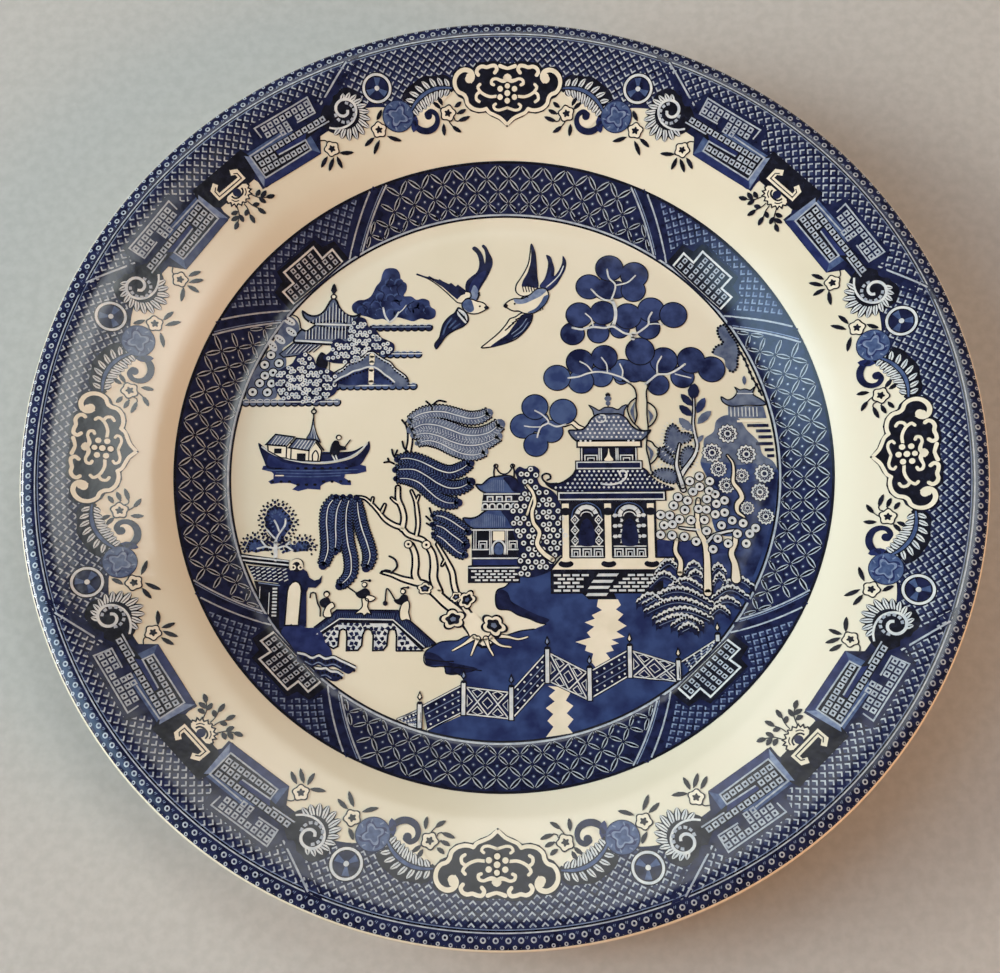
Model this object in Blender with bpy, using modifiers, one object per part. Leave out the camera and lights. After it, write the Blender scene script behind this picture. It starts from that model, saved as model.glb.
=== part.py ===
"""China dinner plate: a turned earthenware body with a rim, a well and a foot ring, three printed
underglaze layers on its front, and the glaze that seals them in. The origin is the centre of the foot
ring's tread, +Z is up and the scene printed in the well stands upright along +Y. Metres throughout."""

import math

import bpy

MM = 0.001

# Driving dimensions
PLATE_RADIUS = 131.0 * MM
CREST_RADIUS = 125.5 * MM
CREST_HEIGHT = 26.0 * MM
WELL_RADIUS = 75.0 * MM
WELL_HEIGHT = 6.6 * MM
BASE_HEIGHT = 2.0 * MM
FOOT_OUTER_RADIUS = 77.9 * MM
FOOT_INNER_RADIUS = 72.1 * MM
FOOT_CHAMFER = 0.4 * MM
BARE_FOOT = 0.7 * MM

# The layers, from the glaze's outer surface inwards
GLAZE_THICKNESS = 0.30 * MM
PRINT_THICKNESS = 0.08 * MM
LAYER_GAP = 0.08 * MM
PRINT_DEPTH = GLAZE_THICKNESS + LAYER_GAP
BODY_DEPTH = PRINT_DEPTH + PRINT_THICKNESS + LAYER_GAP

# Where each printed layer begins and ends
CENTRE_PRINT_RADIUS = 73.0 * MM
CAVETTO_PRINT = (77.0 * MM, 92.0 * MM)
RIM_PRINT = (99.5 * MM, 129.5 * MM)

SEGMENTS = 56
MERGE_DISTANCE = 0.000001

# The glazed surface as (radius, height), from the edge of the flat well out over the crest to the
# widest point, and then back along the underside to the foot ring.
FRONT = [
    (WELL_RADIUS, WELL_HEIGHT),
    (77.8 * MM, 7.0 * MM),
    (81.0 * MM, 8.3 * MM),
    (85.0 * MM, 10.5 * MM),
    (91.5 * MM, 14.3 * MM),
    (97.0 * MM, 16.9 * MM),
    (103.0 * MM, 19.0 * MM),
    (110.0 * MM, 21.3 * MM),
    (118.0 * MM, 23.7 * MM),
    (CREST_RADIUS, CREST_HEIGHT),
    (128.4 * MM, 25.8 * MM),
    (130.4 * MM, 25.0 * MM),
    (PLATE_RADIUS, 23.9 * MM),
]
UNDERSIDE = [
    (130.3 * MM, 22.7 * MM),
    (128.4 * MM, 21.9 * MM),
    (125.0 * MM, 21.1 * MM),
    (118.0 * MM, 19.0 * MM),
    (110.0 * MM, 16.5 * MM),
    (103.0 * MM, 14.1 * MM),
    (97.0 * MM, 11.6 * MM),
    (91.5 * MM, 8.8 * MM),
    (86.0 * MM, 5.4 * MM),
    (82.0 * MM, 3.2 * MM),
    (79.4 * MM, 2.2 * MM),
    (78.3 * MM, 1.5 * MM),
    (FOOT_OUTER_RADIUS, BARE_FOOT),
]


def clear_scene():
    for obj in list(bpy.data.objects):
        bpy.data.objects.remove(obj)


def material(name, colour, roughness, metallic=0.0, alpha=1.0):
    made = bpy.data.materials.new(name)
    made.use_nodes = True
    shader = made.node_tree.nodes["Principled BSDF"]
    shader.inputs["Base Color"].default_value = (*colour, 1.0)
    shader.inputs["Roughness"].default_value = roughness
    shader.inputs["Metallic"].default_value = metallic
    shader.inputs["Alpha"].default_value = alpha
    return made


def inset(points, depth):
    """The profile moved inwards, to the right of its own direction."""
    moved = []
    for index, (radius, height) in enumerate(points):
        before = points[max(index - 1, 0)]
        after = points[min(index + 1, len(points) - 1)]
        along_r = after[0] - before[0]
        along_z = after[1] - before[1]
        length = math.hypot(along_r, along_z)
        moved.append((radius + depth * along_z / length, height - depth * along_r / length))
    return moved


def height_at(points, radius):
    """The height of a profile that runs outwards, at one radius."""
    for (inner, low), (outer, high) in zip(points, points[1:]):
        if inner <= radius <= outer:
            return low + (high - low) * (radius - inner) / (outer - inner)
    return points[0][1]


def stretch(points, start, end):
    """The part of a profile that lies between two radii, with a point at each end."""
    between = [point for point in points if start < point[0] < end]
    return [(start, height_at(points, start)), *between, (end, height_at(points, end))]


def turned(name, profile, closed, look, collection):
    """A profile at +X turned about Z. It runs outwards on top and back below."""
    count = len(profile)
    edges = [(index, index + 1) for index in range(count - 1)]
    if closed:
        edges.append((count - 1, 0))
    mesh = bpy.data.meshes.new(name)
    mesh.from_pydata([(radius, 0.0, height) for radius, height in profile], edges, [])
    mesh.materials.append(look)
    obj = bpy.data.objects.new(name, mesh)
    collection.objects.link(obj)
    screw = obj.modifiers.new("turn", "SCREW")
    screw.axis = "Z"
    screw.angle = math.tau
    screw.steps = SEGMENTS
    screw.render_steps = SEGMENTS
    screw.use_merge_vertices = True
    screw.merge_threshold = MERGE_DISTANCE
    screw.use_smooth_shade = True
    return obj


def body_profile():
    """The fired clay: under the glaze everywhere but on the bare tread of the foot ring."""
    covered = inset(FRONT + UNDERSIDE, BODY_DEPTH)
    outer = covered[-1][0]
    inner = FOOT_INNER_RADIUS + BODY_DEPTH
    return [
        (0.0, WELL_HEIGHT - BODY_DEPTH),
        *covered,
        (outer, FOOT_CHAMFER),
        (outer - FOOT_CHAMFER, 0.0),
        (inner + FOOT_CHAMFER, 0.0),
        (inner, FOOT_CHAMFER),
        (inner, BASE_HEIGHT - BODY_DEPTH),
        (inner - 2 * BODY_DEPTH, BASE_HEIGHT + BODY_DEPTH),
        (0.0, BASE_HEIGHT + BODY_DEPTH),
    ]


def glaze_coat_profile():
    """Glaze on the front, round the edge and along the underside down to the bare foot ring."""
    outside = FRONT + UNDERSIDE
    inside = inset(outside, GLAZE_THICKNESS)
    inside.reverse()
    return [(0.0, WELL_HEIGHT), *outside, *inside, (0.0, WELL_HEIGHT - GLAZE_THICKNESS)]


def base_glaze_profile():
    """Glaze on the base within the foot ring, turned down its inner wall to the bare tread."""
    corner = 2 * BODY_DEPTH
    lower_corner = corner + GLAZE_THICKNESS
    wall = FOOT_INNER_RADIUS + GLAZE_THICKNESS
    upper = BASE_HEIGHT + GLAZE_THICKNESS
    return [
        (0.0, upper),
        (wall - corner, upper),
        (wall, BASE_HEIGHT - BODY_DEPTH),
        (wall, BARE_FOOT),
        (FOOT_INNER_RADIUS, BARE_FOOT),
        (FOOT_INNER_RADIUS, BASE_HEIGHT - BODY_DEPTH),
        (FOOT_INNER_RADIUS - lower_corner, BASE_HEIGHT),
        (0.0, BASE_HEIGHT),
    ]


def ring_print_profile(limits):
    """One printed border, following the front between two radii."""
    top = stretch(inset(FRONT, PRINT_DEPTH), *limits)
    bottom = stretch(inset(FRONT, PRINT_DEPTH + PRINT_THICKNESS), *limits)
    bottom.reverse()
    return top + bottom


def centre_print_profile():
    """The printed scene, a thin disc on the flat of the well."""
    top = WELL_HEIGHT - PRINT_DEPTH
    bottom = top - PRINT_THICKNESS
    return [(0.0, top), (CENTRE_PRINT_RADIUS, top), (CENTRE_PRINT_RADIUS, bottom), (0.0, bottom)]


def main():
    clear_scene()
    plate = bpy.data.collections.new("china_dinner_plate")
    bpy.context.scene.collection.children.link(plate)

    bisque = material("fired_earthenware", (0.80, 0.73, 0.60), roughness=0.75)
    glaze = material("clear_cream_glaze", (0.86, 0.80, 0.66), roughness=0.08, alpha=0.3)
    rim_ink = material("rim_ink", (0.06, 0.07, 0.20), roughness=0.45)
    cavetto_ink = material("cavetto_ink", (0.07, 0.09, 0.24), roughness=0.45)
    centre_ink = material("centre_ink", (0.26, 0.29, 0.44), roughness=0.45)

    turned("bisque_body", body_profile(), False, bisque, plate)
    turned("glaze_coat", glaze_coat_profile(), False, glaze, plate)
    turned("base_glaze", base_glaze_profile(), False, glaze.copy(), plate)
    turned("rim_border_print", ring_print_profile(RIM_PRINT), True, rim_ink, plate)
    turned("cavetto_border_print", ring_print_profile(CAVETTO_PRINT), True, cavetto_ink, plate)
    turned("centre_scene_print", centre_print_profile(), False, centre_ink, plate)


main()
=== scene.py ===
"""The looks of the china dinner plate: its glazed surface and the blue print that the glaze seals in.

Every printed piece is drawn in plan, in millimetres from the plate's centre, with x to the right and y
towards the top of the scene, and is then draped on the glazed front."""

import math

import bpy
import numpy as np
from mathutils.geometry import delaunay_2d_cdt
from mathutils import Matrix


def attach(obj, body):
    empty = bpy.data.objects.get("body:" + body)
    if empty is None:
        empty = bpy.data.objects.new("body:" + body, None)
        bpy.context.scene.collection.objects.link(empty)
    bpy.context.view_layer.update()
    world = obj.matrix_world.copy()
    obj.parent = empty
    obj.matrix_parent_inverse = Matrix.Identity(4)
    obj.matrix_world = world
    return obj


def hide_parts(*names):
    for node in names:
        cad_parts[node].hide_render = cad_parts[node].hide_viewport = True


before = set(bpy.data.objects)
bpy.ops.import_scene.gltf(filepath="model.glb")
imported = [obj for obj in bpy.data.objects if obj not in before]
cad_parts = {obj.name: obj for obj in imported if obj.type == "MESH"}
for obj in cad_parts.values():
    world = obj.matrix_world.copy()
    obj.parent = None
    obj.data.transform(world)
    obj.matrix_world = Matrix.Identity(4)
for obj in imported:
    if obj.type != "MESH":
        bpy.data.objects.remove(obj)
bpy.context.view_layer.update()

MM = 0.001

# ---------------------------------------------------------------- the plate's turned profile, in mm

CREST_RADIUS = 125.5
FRONT = [
    (0, 6.6), (40, 6.6), (70, 6.6), (75, 6.6), (77.8, 7), (81, 8.3), (85, 10.5), (91.5, 14.3), (97, 16.9),
    (103, 19), (110, 21.3), (118, 23.7), (CREST_RADIUS, 26.0), (128.4, 25.8), (130.4, 25), (131, 23.9),
]
UNDERSIDE = [
    (130.3, 22.7), (128.4, 21.9), (125, 21.1), (118, 19), (110, 16.5), (103, 14.1), (97, 11.6),
    (91.5, 8.8), (86, 5.4), (82, 3.2), (79.4, 2.2), (78.3, 1.5), (77.9, 0.7),
]
BASE = [(0, 2), (50, 2), (70.4, 2), (71.5, 1.8), (72.1, 1.3), (72.1, 0.7)]
LIFT = 0.02  # how far each printed layer stands above the one below
CLEAR = 0.05  # how far the lowest printed layer stands above the glaze
HAIR = 0.0002  # how far each shape stands above the last in its own layer
LEAST_AREA = 1e-7  # twice the area, in square mm, of the smallest triangle kept
BEND_RADIUS = 70.0  # where the flat of the well starts to turn up
BEND_PITCH = 1.4  # how far apart a shape's inner points stand there
GLAZE_PITCH = 0.9  # how far apart the rings of the glazed surface stand
GLAZE_SIDES = 320
BASE_SIDES = 200
RIM_REPEATS = 256  # how many times the small marks of the rim go round
CAVETTO_REPEATS = 192
DIAGONAL = 45


# ---------------------------------------------------------------- drawing in plan


def smooth(points, closed=False, step=0.6):
    """Points along a smooth curve through the given ones, at most a step apart."""
    given = np.asarray(points, float)
    if closed:
        given = np.vstack([given[-1], given, given[0], given[1]])
    run = np.linalg.norm(np.diff(given, axis=0), axis=1)
    slope = np.diff(given, axis=0) / run[:, None]
    tangent = np.empty_like(given)
    weight = (run[1:] / (run[1:] + run[:-1]))[:, None]
    tangent[1:-1] = slope[:-1] * weight + slope[1:] * (1 - weight)
    tangent[0], tangent[-1] = slope[0], slope[-1]
    first, last = (1, len(given) - 2) if closed else (0, len(given) - 1)
    parts = []
    for i in range(first, last):
        t = (np.arange(math.ceil(run[i] / step)) / math.ceil(run[i] / step))[:, None]
        a = (2 * t**3 - 3 * t**2 + 1) * given[i] + (t**3 - 2 * t**2 + t) * tangent[i] * run[i]
        b = (3 * t**2 - 2 * t**3) * given[i + 1] + (t**3 - t**2) * tangent[i + 1] * run[i]
        parts.append(a + b)
    if not closed:
        parts.append(given[-1:])
    return np.vstack(parts)


def straight(points, closed=False, step=2.0):
    """Points along straight runs between the given ones."""
    given = np.asarray(points, float)
    if closed:
        given = np.vstack([given, given[0]])
    parts = []
    for start, end in zip(given, given[1:]):
        count = max(1, math.ceil(np.linalg.norm(end - start) / step))
        parts.append(start + (end - start) * (np.arange(count) / count)[:, None])
    if not closed:
        parts.append(given[-1:])
    return np.vstack(parts)


def inside(points, outline):
    """Which of the points lie within a closed outline."""
    x, y = points[:, 0][:, None], points[:, 1][:, None]
    a, b = outline, np.roll(outline, -1, axis=0)
    spans = (a[:, 1] > y) != (b[:, 1] > y)
    rise = np.where(b[:, 1] == a[:, 1], 1.0, b[:, 1] - a[:, 1])
    crossing = a[:, 0] + (y - a[:, 1]) * (b[:, 0] - a[:, 0]) / rise
    return (np.sum(spans & (x < crossing), axis=1) % 2).astype(bool)


def fill(outline, holes=(), spacing=None):
    """A filled shape. With a spacing, or past the flat of the well, it has points inside to bend at."""
    loops = [np.asarray(loop, float) for loop in (outline, *holes)]
    corners = [tuple(point) for loop in loops for point in loop]
    edges, start = [], 0
    for loop in loops:
        edges += [(start + i, start + (i + 1) % len(loop)) for i in range(len(loop))]
        start += len(loop)
    if spacing or np.hypot(*loops[0].T).max() > BEND_RADIUS:
        pitch = spacing or BEND_PITCH
        low, high = loops[0].min(0), loops[0].max(0)
        across = np.arange(low[0] + pitch / 2, high[0], pitch)
        along = np.arange(low[1] + pitch / 2, high[1], pitch)
        grid = np.stack(np.meshgrid(across, along), -1).reshape(-1, 2)
        grid = grid[inside(grid, loops[0]) & (bool(spacing) | (np.hypot(*grid.T) > BEND_RADIUS))]
        corners += [tuple(point) for point in grid]
    points, _, faces, _, _, _ = delaunay_2d_cdt(corners, edges, [], 0, 1e-4)
    points = np.array(points)
    faces = np.array([face for face in faces if len(face) == 3])
    middles = points[faces].mean(1)
    kept = inside(middles, loops[0])
    for hole in loops[1:]:
        kept &= ~inside(middles, hole)
    return points, faces[kept]


def slab(points):
    """A straight-edged shape that is large enough to need points inside."""
    return fill(straight(points, True, 2), spacing=3)


def soft_slab(points):
    """A round-edged shape that is large enough to need points inside."""
    return fill(smooth(points, True), spacing=3)


def normals_along(line, closed):
    """The mitred normal at each point of a line."""
    run = np.diff(np.vstack([line, line[:1]]) if closed else line, axis=0)
    run /= np.linalg.norm(run, axis=1)[:, None] + 1e-12
    left = np.stack([-run[:, 1], run[:, 0]], 1)
    before = np.roll(left, 1, axis=0) if closed else np.vstack([left[:1], left])
    after = left if closed else np.vstack([left, left[-1:]])
    return (before + after) / np.maximum(1 + np.sum(before * after, 1), 0.4)[:, None]


def stroke(line, width, closed=False, round_ends=False):
    """A line with a width, or with widths spread evenly along it."""
    line = np.asarray(line, float)
    count = len(line)
    widths = np.interp(np.linspace(0, 1, count), np.linspace(0, 1, np.size(width)), np.atleast_1d(width))
    offset = normals_along(line, closed) * widths[:, None] / 2
    points = np.vstack([line + offset, line - offset])
    steps = np.arange(count if closed else count - 1)
    after = (steps + 1) % count
    faces = np.vstack([
        np.stack([steps, steps + count, after + count], 1), np.stack([steps, after + count, after], 1),
    ])
    shape = (points, faces)
    if round_ends:
        caps = [disc(*line[0], widths[0] / 2, 10), disc(*line[-1], widths[-1] / 2, 10)]
        return join(shape, *caps)
    return shape


def curve(points, width, closed=False, round_ends=False, step=0.5):
    """A stroke along a smooth curve."""
    return stroke(smooth(points, closed, step), width, closed, round_ends)


def disc(x, y, radius, count=24, squash=1.0, turn=0.0):
    """A round or oval patch, with rows of points where it is large."""
    rows = math.ceil(radius / BEND_PITCH)
    angle = np.arange(count) * math.tau / count
    outermost = np.stack([radius * np.cos(angle), radius * squash * np.sin(angle)], 1)
    rings = [outermost * (row + 1) / rows for row in range(rows)]
    steps = np.arange(count) + 1
    after = steps % count + 1
    faces = [np.stack([np.zeros(count, int), steps, after], 1)]
    for low in range(0, (rows - 1) * count, count):
        high = low + count
        faces.append(np.stack([low + steps, high + steps, high + after], 1))
        faces.append(np.stack([low + steps, high + after, low + after], 1))
    return np.vstack([[[0.0, 0.0]], *rings]) @ spin(turn) + (x, y), np.vstack(faces)


def ring(x, y, outer, inner, count=24):
    """A flat ring."""
    angle = np.arange(count) * math.tau / count
    unit = np.stack([np.cos(angle), np.sin(angle)], 1)
    steps = np.arange(count)
    after = (steps + 1) % count
    faces = [np.stack([steps, after, after + count], 1), np.stack([steps, after + count, steps + count], 1)]
    return np.vstack([unit * inner, unit * outer]) + (x, y), np.vstack(faces)


def leaf(start, end, width, bend=0.0):
    """A pointed leaf from its stalk to its tip."""
    start, end = np.asarray(start, float), np.asarray(end, float)
    along = end - start
    side = np.array([-along[1], along[0]])
    side /= np.linalg.norm(side)
    share = np.array([0.0, 0.25, 0.55, 0.85, 1.0])
    spread = np.array([0.1, 0.8, 1.0, 0.6, 0.0]) * width / 2
    middle = start + along * share[:, None] + side * (bend * 4 * share * (1 - share))[:, None]
    points = np.vstack([middle + side * spread[:, None], (middle - side * spread[:, None])[-2::-1]])
    return fill(points)


def dashes(starts, ends, width):
    """Many short straight strokes."""
    starts, ends = np.asarray(starts, float), np.asarray(ends, float)
    along = ends - starts
    side = np.stack([-along[:, 1], along[:, 0]], 1) * width / 2 / np.linalg.norm(along, axis=1)[:, None]
    count = len(starts)
    a = np.arange(count)
    b, c, d = a + count, a + 2 * count, a + 3 * count
    points = np.concatenate([starts - side, starts + side, ends + side, ends - side])
    return points, np.vstack([np.stack([a, b, c], 1), np.stack([a, c, d], 1)])


def lobed(radius, lobes, depth, count=60):
    """A closed wavy outline round the origin."""
    wave = np.arange(count) * math.tau / count
    spread = radius * (1 + depth * np.cos(lobes * wave))
    return np.stack([spread * np.sin(wave), spread * np.cos(wave)], 1)


def petalled(radius, petals, count=60):
    """The outline of a flower with round petals."""
    wave = np.arange(count) * math.tau / count
    spread = radius * (0.72 + 0.28 * np.abs(np.cos(petals * wave / 2)))
    return np.stack([spread * np.sin(wave), spread * np.cos(wave)], 1)


def join(*shapes):
    """Several shapes as one."""
    points, faces, start = [], [], 0
    for some_points, some_faces in shapes:
        points.append(some_points)
        faces.append(some_faces + start)
        start += len(some_points)
    return np.vstack(points), np.vstack(faces)


def spin(degrees):
    """What turns a row of points anticlockwise when it stands on their right."""
    c, s = math.cos(math.radians(degrees)), math.sin(math.radians(degrees))
    return np.array([[c, s], [-s, c]])


def turned(shape, degrees):
    """A shape turned anticlockwise about the plate's centre."""
    return shape[0] @ spin(degrees), shape[1]


def moved(shape, x, y, size=1.0, turn=0.0):
    """A shape scaled, turned and then moved."""
    return (shape[0] * size) @ spin(turn) + (x, y), shape[1]


def mirrored(shape):
    """A shape seen in the plate's upright axis."""
    return shape[0] * (-1, 1), shape[1]


def copies(shape, angles, radii, turn=0.0):
    """One shape at each pair of angle and radius."""
    points, faces = moved(shape, 0, 0, 1.0, turn)
    angle = -np.radians(np.asarray(angles, float))[:, None]
    c, s = np.cos(angle), np.sin(angle)
    x, y = points[:, 0], points[:, 1] + np.asarray(radii, float)[:, None]
    every = np.stack([x * c - y * s, x * s + y * c], -1)
    starts = np.arange(len(every))[:, None, None] * len(points)
    return every.reshape(-1, 2), (faces + starts).reshape(-1, 3)


def quarters(shape):
    """A shape in all four quarters."""
    return join(*[turned(shape, 90 * k) for k in range(4)])


def at_diagonals(shape):
    """A shape drawn as if it stood at +Y, on each diagonal."""
    return quarters(turned(shape, -DIAGONAL))


def eighths(shape):
    """A shape drawn between +Y and the diagonal, on both sides of all four axes."""
    return quarters(join(shape, mirrored(shape)))


def sweep(inner, outer, start, end, step, rows):
    """A band between two radii, which may each follow the angle."""
    count = math.ceil((end - start) / step)
    angle = np.linspace(start, end, count + 1)
    low = inner(angle) if callable(inner) else np.full(count + 1, float(inner))
    high = outer(angle) if callable(outer) else np.full(count + 1, float(outer))
    share = np.linspace(0, 1, rows + 1)[:, None]
    radius = low + (high - low) * share
    turn = np.radians(angle)
    points = np.stack([radius * np.sin(turn), radius * np.cos(turn)], -1).reshape(-1, 2)
    row, column = np.meshgrid(np.arange(rows), np.arange(count), indexing="ij")
    a = (row * (count + 1) + column).ravel()
    b, c, d = a + 1, a + count + 1, a + count + 2
    return points, np.vstack([np.stack([a, b, d], 1), np.stack([a, d, c], 1)])


# ---------------------------------------------------------------- draping on the plate

profile = smooth(FRONT, step=0.5)
front_radius, front_height = profile[:, 0], profile[:, 1]
order = np.argsort(front_radius)
front_slope = np.gradient(front_height[order], front_radius[order])


def drape(points, lift):
    """Places and normals, in metres, of points in plan set on the glazed front."""
    radius = np.hypot(points[:, 0], points[:, 1])
    height = np.interp(radius, front_radius[order], front_height[order])
    slope = np.interp(radius, front_radius[order], front_slope)
    outward = points / np.maximum(radius, 1e-9)[:, None]
    normal = np.column_stack([-outward * slope[:, None], np.ones(len(points))])
    normal /= np.linalg.norm(normal, axis=1)[:, None]
    return (np.column_stack([points, height]) + normal * np.reshape(lift, (-1, 1))) * MM, normal


class Print:
    """One printed piece: the shapes of one or more inks, in layers."""

    def __init__(self, name):
        self.name = name
        self.points, self.faces, self.lifts, self.inks = [], [], [], []
        self.count = 0

    def add(self, shape, ink, layer):
        """Takes one more shape; those of a higher layer lie on top."""
        points, faces = shape
        self.points.append(points)
        self.faces.append(faces + self.count)
        self.lifts.append(np.full(len(points), CLEAR + layer * LIFT + len(self.inks) * HAIR))
        self.inks.append((ink, len(faces)))
        self.count += len(points)

    def finish(self, slot, node):
        """Drapes the shapes on the glaze as one piece, which stands for the CAD node."""
        plan = np.vstack(self.points)
        faces = np.vstack(self.faces)
        a, b, c = plan[faces[:, 0]], plan[faces[:, 1]], plan[faces[:, 2]]
        spread = (b[:, 0] - a[:, 0]) * (c[:, 1] - a[:, 1]) - (b[:, 1] - a[:, 1]) * (c[:, 0] - a[:, 0])
        faces[spread < 0] = faces[spread < 0][:, ::-1]
        whole = np.abs(spread) > LEAST_AREA
        names = sorted({ink for ink, _ in self.inks})
        index = np.concatenate([np.full(n, names.index(ink)) for ink, n in self.inks])[whole]
        faces = faces[whole]
        places, normals = drape(plan, np.concatenate(self.lifts))
        mesh = bpy.data.meshes.new(self.name)
        mesh.from_pydata(places.tolist(), [], faces.tolist())
        for ink in names:
            mesh.materials.append(ink_material(ink))
        mesh.polygons.foreach_set("material_index", index.astype(np.int32))
        # each ink has its own square of the texture map
        tiles = math.ceil(math.sqrt(len(names)))
        low, high = plan.min(0), plan.max(0)
        unit = 0.02 + 0.96 * (plan - low) / (high - low).max()
        cell = np.stack([index % tiles, index // tiles], 1)[:, None]
        uv = (unit[faces] + cell) / tiles
        mesh.uv_layers.new(name="OFBake").data.foreach_set("uv", uv.astype(np.float32).ravel())
        mesh.polygons.foreach_set("use_smooth", np.ones(len(faces), bool))
        mesh.normals_split_custom_set_from_vertices(normals.tolist())
        mesh.update()
        return show(self.name, mesh, slot, node)


def show(name, mesh, slot, *nodes):
    """Puts a mesh in the scene as a piece of the plate."""
    obj = bpy.data.objects.new(name, mesh)
    bpy.context.scene.collection.objects.link(obj)
    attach(obj, "root")
    if nodes:
        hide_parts(*nodes)
    return obj


# ---------------------------------------------------------------- materials


def linear(red, green, blue):
    """A colour given as it looks, from 0 to 255, as light."""
    shares = [value / 255 for value in (red, green, blue)]
    return tuple(c / 12.92 if c < 0.0405 else ((c + 0.055) / 1.055) ** 2.4 for c in shares) + (1.0,)


def shader(name, dark, light, grain, stretch=(1, 1, 1), roughness=0.09, ripple=0.04, detail=3.0):
    """A Principled material mottled between two colours, with the glaze's faint ripple."""
    material = bpy.data.materials.new(name)
    material.use_nodes = True
    tree = material.node_tree
    nodes, links = tree.nodes, tree.links
    surface = nodes["Principled BSDF"]
    surface.inputs["Roughness"].default_value = roughness
    surface.inputs["IOR"].default_value = 1.5
    place = nodes.new("ShaderNodeTexCoord")
    scale = nodes.new("ShaderNodeMapping")
    scale.inputs["Scale"].default_value = stretch
    links.new(place.outputs["Object"], scale.inputs["Vector"])
    mottle = nodes.new("ShaderNodeTexNoise")
    mottle.inputs["Scale"].default_value = 1000 / grain
    mottle.inputs["Detail"].default_value = detail
    links.new(scale.outputs["Vector"], mottle.inputs["Vector"])
    ramp = nodes.new("ShaderNodeValToRGB")
    ramp.color_ramp.elements[0].position = 0.36
    ramp.color_ramp.elements[0].color = linear(*dark)
    ramp.color_ramp.elements[1].position = 0.64
    ramp.color_ramp.elements[1].color = linear(*light)
    links.new(mottle.outputs["Fac"], ramp.inputs["Fac"])
    links.new(ramp.outputs["Color"], surface.inputs["Base Color"])
    waves = nodes.new("ShaderNodeTexNoise")
    waves.inputs["Scale"].default_value = 260.0
    waves.inputs["Detail"].default_value = 2.0
    links.new(place.outputs["Object"], waves.inputs["Vector"])
    bump = nodes.new("ShaderNodeBump")
    bump.inputs["Strength"].default_value = ripple
    bump.inputs["Distance"].default_value = 0.001
    links.new(waves.outputs["Fac"], bump.inputs["Height"])
    links.new(bump.outputs["Normal"], surface.inputs["Normal"])
    return material


# Each ink's darker and lighter colour and the size of its mottling in mm
INKS = {
    "black": ((14, 15, 24), (26, 28, 42), 2.0), "navy": ((16, 20, 46), (30, 36, 70), 2.5),
    "shade": ((34, 42, 74), (52, 62, 94), 2.0), "deep": ((28, 36, 78), (42, 52, 98), 2.5),
    "mid": ((54, 70, 108), (80, 98, 134), 1.6), "wash": ((98, 112, 144), (130, 144, 168), 1.6),
    "pale": ((146, 154, 166), (178, 184, 190), 1.6), "light": ((190, 196, 200), (216, 217, 212), 2.0),
    "cream": ((221, 212, 188), (231, 222, 200), 6.0), "water": ((32, 42, 84), (52, 70, 116), 6.0),
    "leaf": ((18, 24, 58), (56, 70, 114), 5.0), "cloud": ((44, 58, 102), (70, 88, 128), 4.0),
    "slate": ((72, 82, 108), (104, 114, 134), 2.5),
}
made_inks = {}


def ink_material(name):
    """The material of an ink, made once."""
    if name not in made_inks:
        dark, light, grain = INKS[name]
        made_inks[name] = shader("ink_" + name, dark, light, grain)
    return made_inks[name]


# ---------------------------------------------------------------- the glazed body


def revolve(name, outline, segments, slot, material, *nodes):
    """A turned surface, closed at the centre where its outline starts there."""
    outline = np.asarray(outline)
    angle = np.arange(segments) * math.tau / segments
    rings = outline[outline[:, 0] > 1e-6]
    on_axis = outline[outline[:, 0] <= 1e-6]
    x = rings[:, 0][:, None] * np.cos(angle)
    y = rings[:, 0][:, None] * np.sin(angle)
    z = np.repeat(rings[:, 1][:, None], segments, 1)
    points = np.stack([x, y, z], -1).reshape(-1, 3)
    faces = []
    for row in range(len(rings) - 1):
        for column in range(segments):
            after = (column + 1) % segments
            faces.append((
                row * segments + column, (row + 1) * segments + column, (row + 1) * segments + after,
                row * segments + after,
            ))
    if len(on_axis):
        centre = len(points)
        points = np.vstack([points, [0, 0, on_axis[0, 1]]])
        faces += [(centre, column, (column + 1) % segments) for column in range(segments)]
    mesh = bpy.data.meshes.new(name)
    mesh.from_pydata((points * MM).tolist(), [], faces)
    mesh.materials.append(material)
    mesh.shade_smooth()
    return show(name, mesh, slot, *nodes)


def glazed_body():
    """The glaze over the front, edge and underside, and its own patch within the foot ring."""
    glaze = shader("cream_glaze", (217, 209, 184), (226, 218, 196), 60.0, detail=6.0)
    outline = smooth(FRONT + UNDERSIDE, step=GLAZE_PITCH)
    revolve("glazed_surface", outline, GLAZE_SIDES, "glaze", glaze, "glaze_coat")
    outline = smooth(BASE, step=GLAZE_PITCH)
    patch = revolve("base_glaze_surface", outline, BASE_SIDES, "glaze", glaze, "base_glaze")
    patch.data.flip_normals()


def bare_clay():
    """The fired clay that shows on the tread of the foot ring."""
    bisque = shader("bare_bisque", (176, 158, 128), (206, 190, 160), 0.8, roughness=0.7, ripple=0.3)
    for material_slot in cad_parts["bisque_body"].material_slots:
        material_slot.material = bisque


# ---------------------------------------------------------------- the rim border

RIM_TURN = -0.75


def rim(shape):
    """A shape of the rim border, turned as the real transfer is."""
    return turned(shape, RIM_TURN)


def rim_ground_edge(angle):
    """The radius where the rim's dark ground ends, by the angle from the nearest medallion."""
    folded = np.abs((np.asarray(angle) + 45) % 90 - 45)
    edge = [
        (0, 106), (7.2, 111.4), (8.2, 112.6), (9.6, 113.6), (11.4, 113.6), (13.1, 112.5), (14.6, 110.4),
        (15.6, 108), (17.6, 109.1), (19, 110.8), (20.2, 111.5), (22.5, 112.5), (23.5, 110.2),
        (24.8, 109.6), (28.2, 110.1), (30.1, 109.6), (30.8, 105.5), (36, 105.2), (41.2, 105.5),
        (41.5, 109.3), (42.7, 109.2), (44, 108.3), (45, 108.3),
    ]
    angles, radii = zip(*edge)
    return np.interp(folded, angles, radii)


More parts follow.
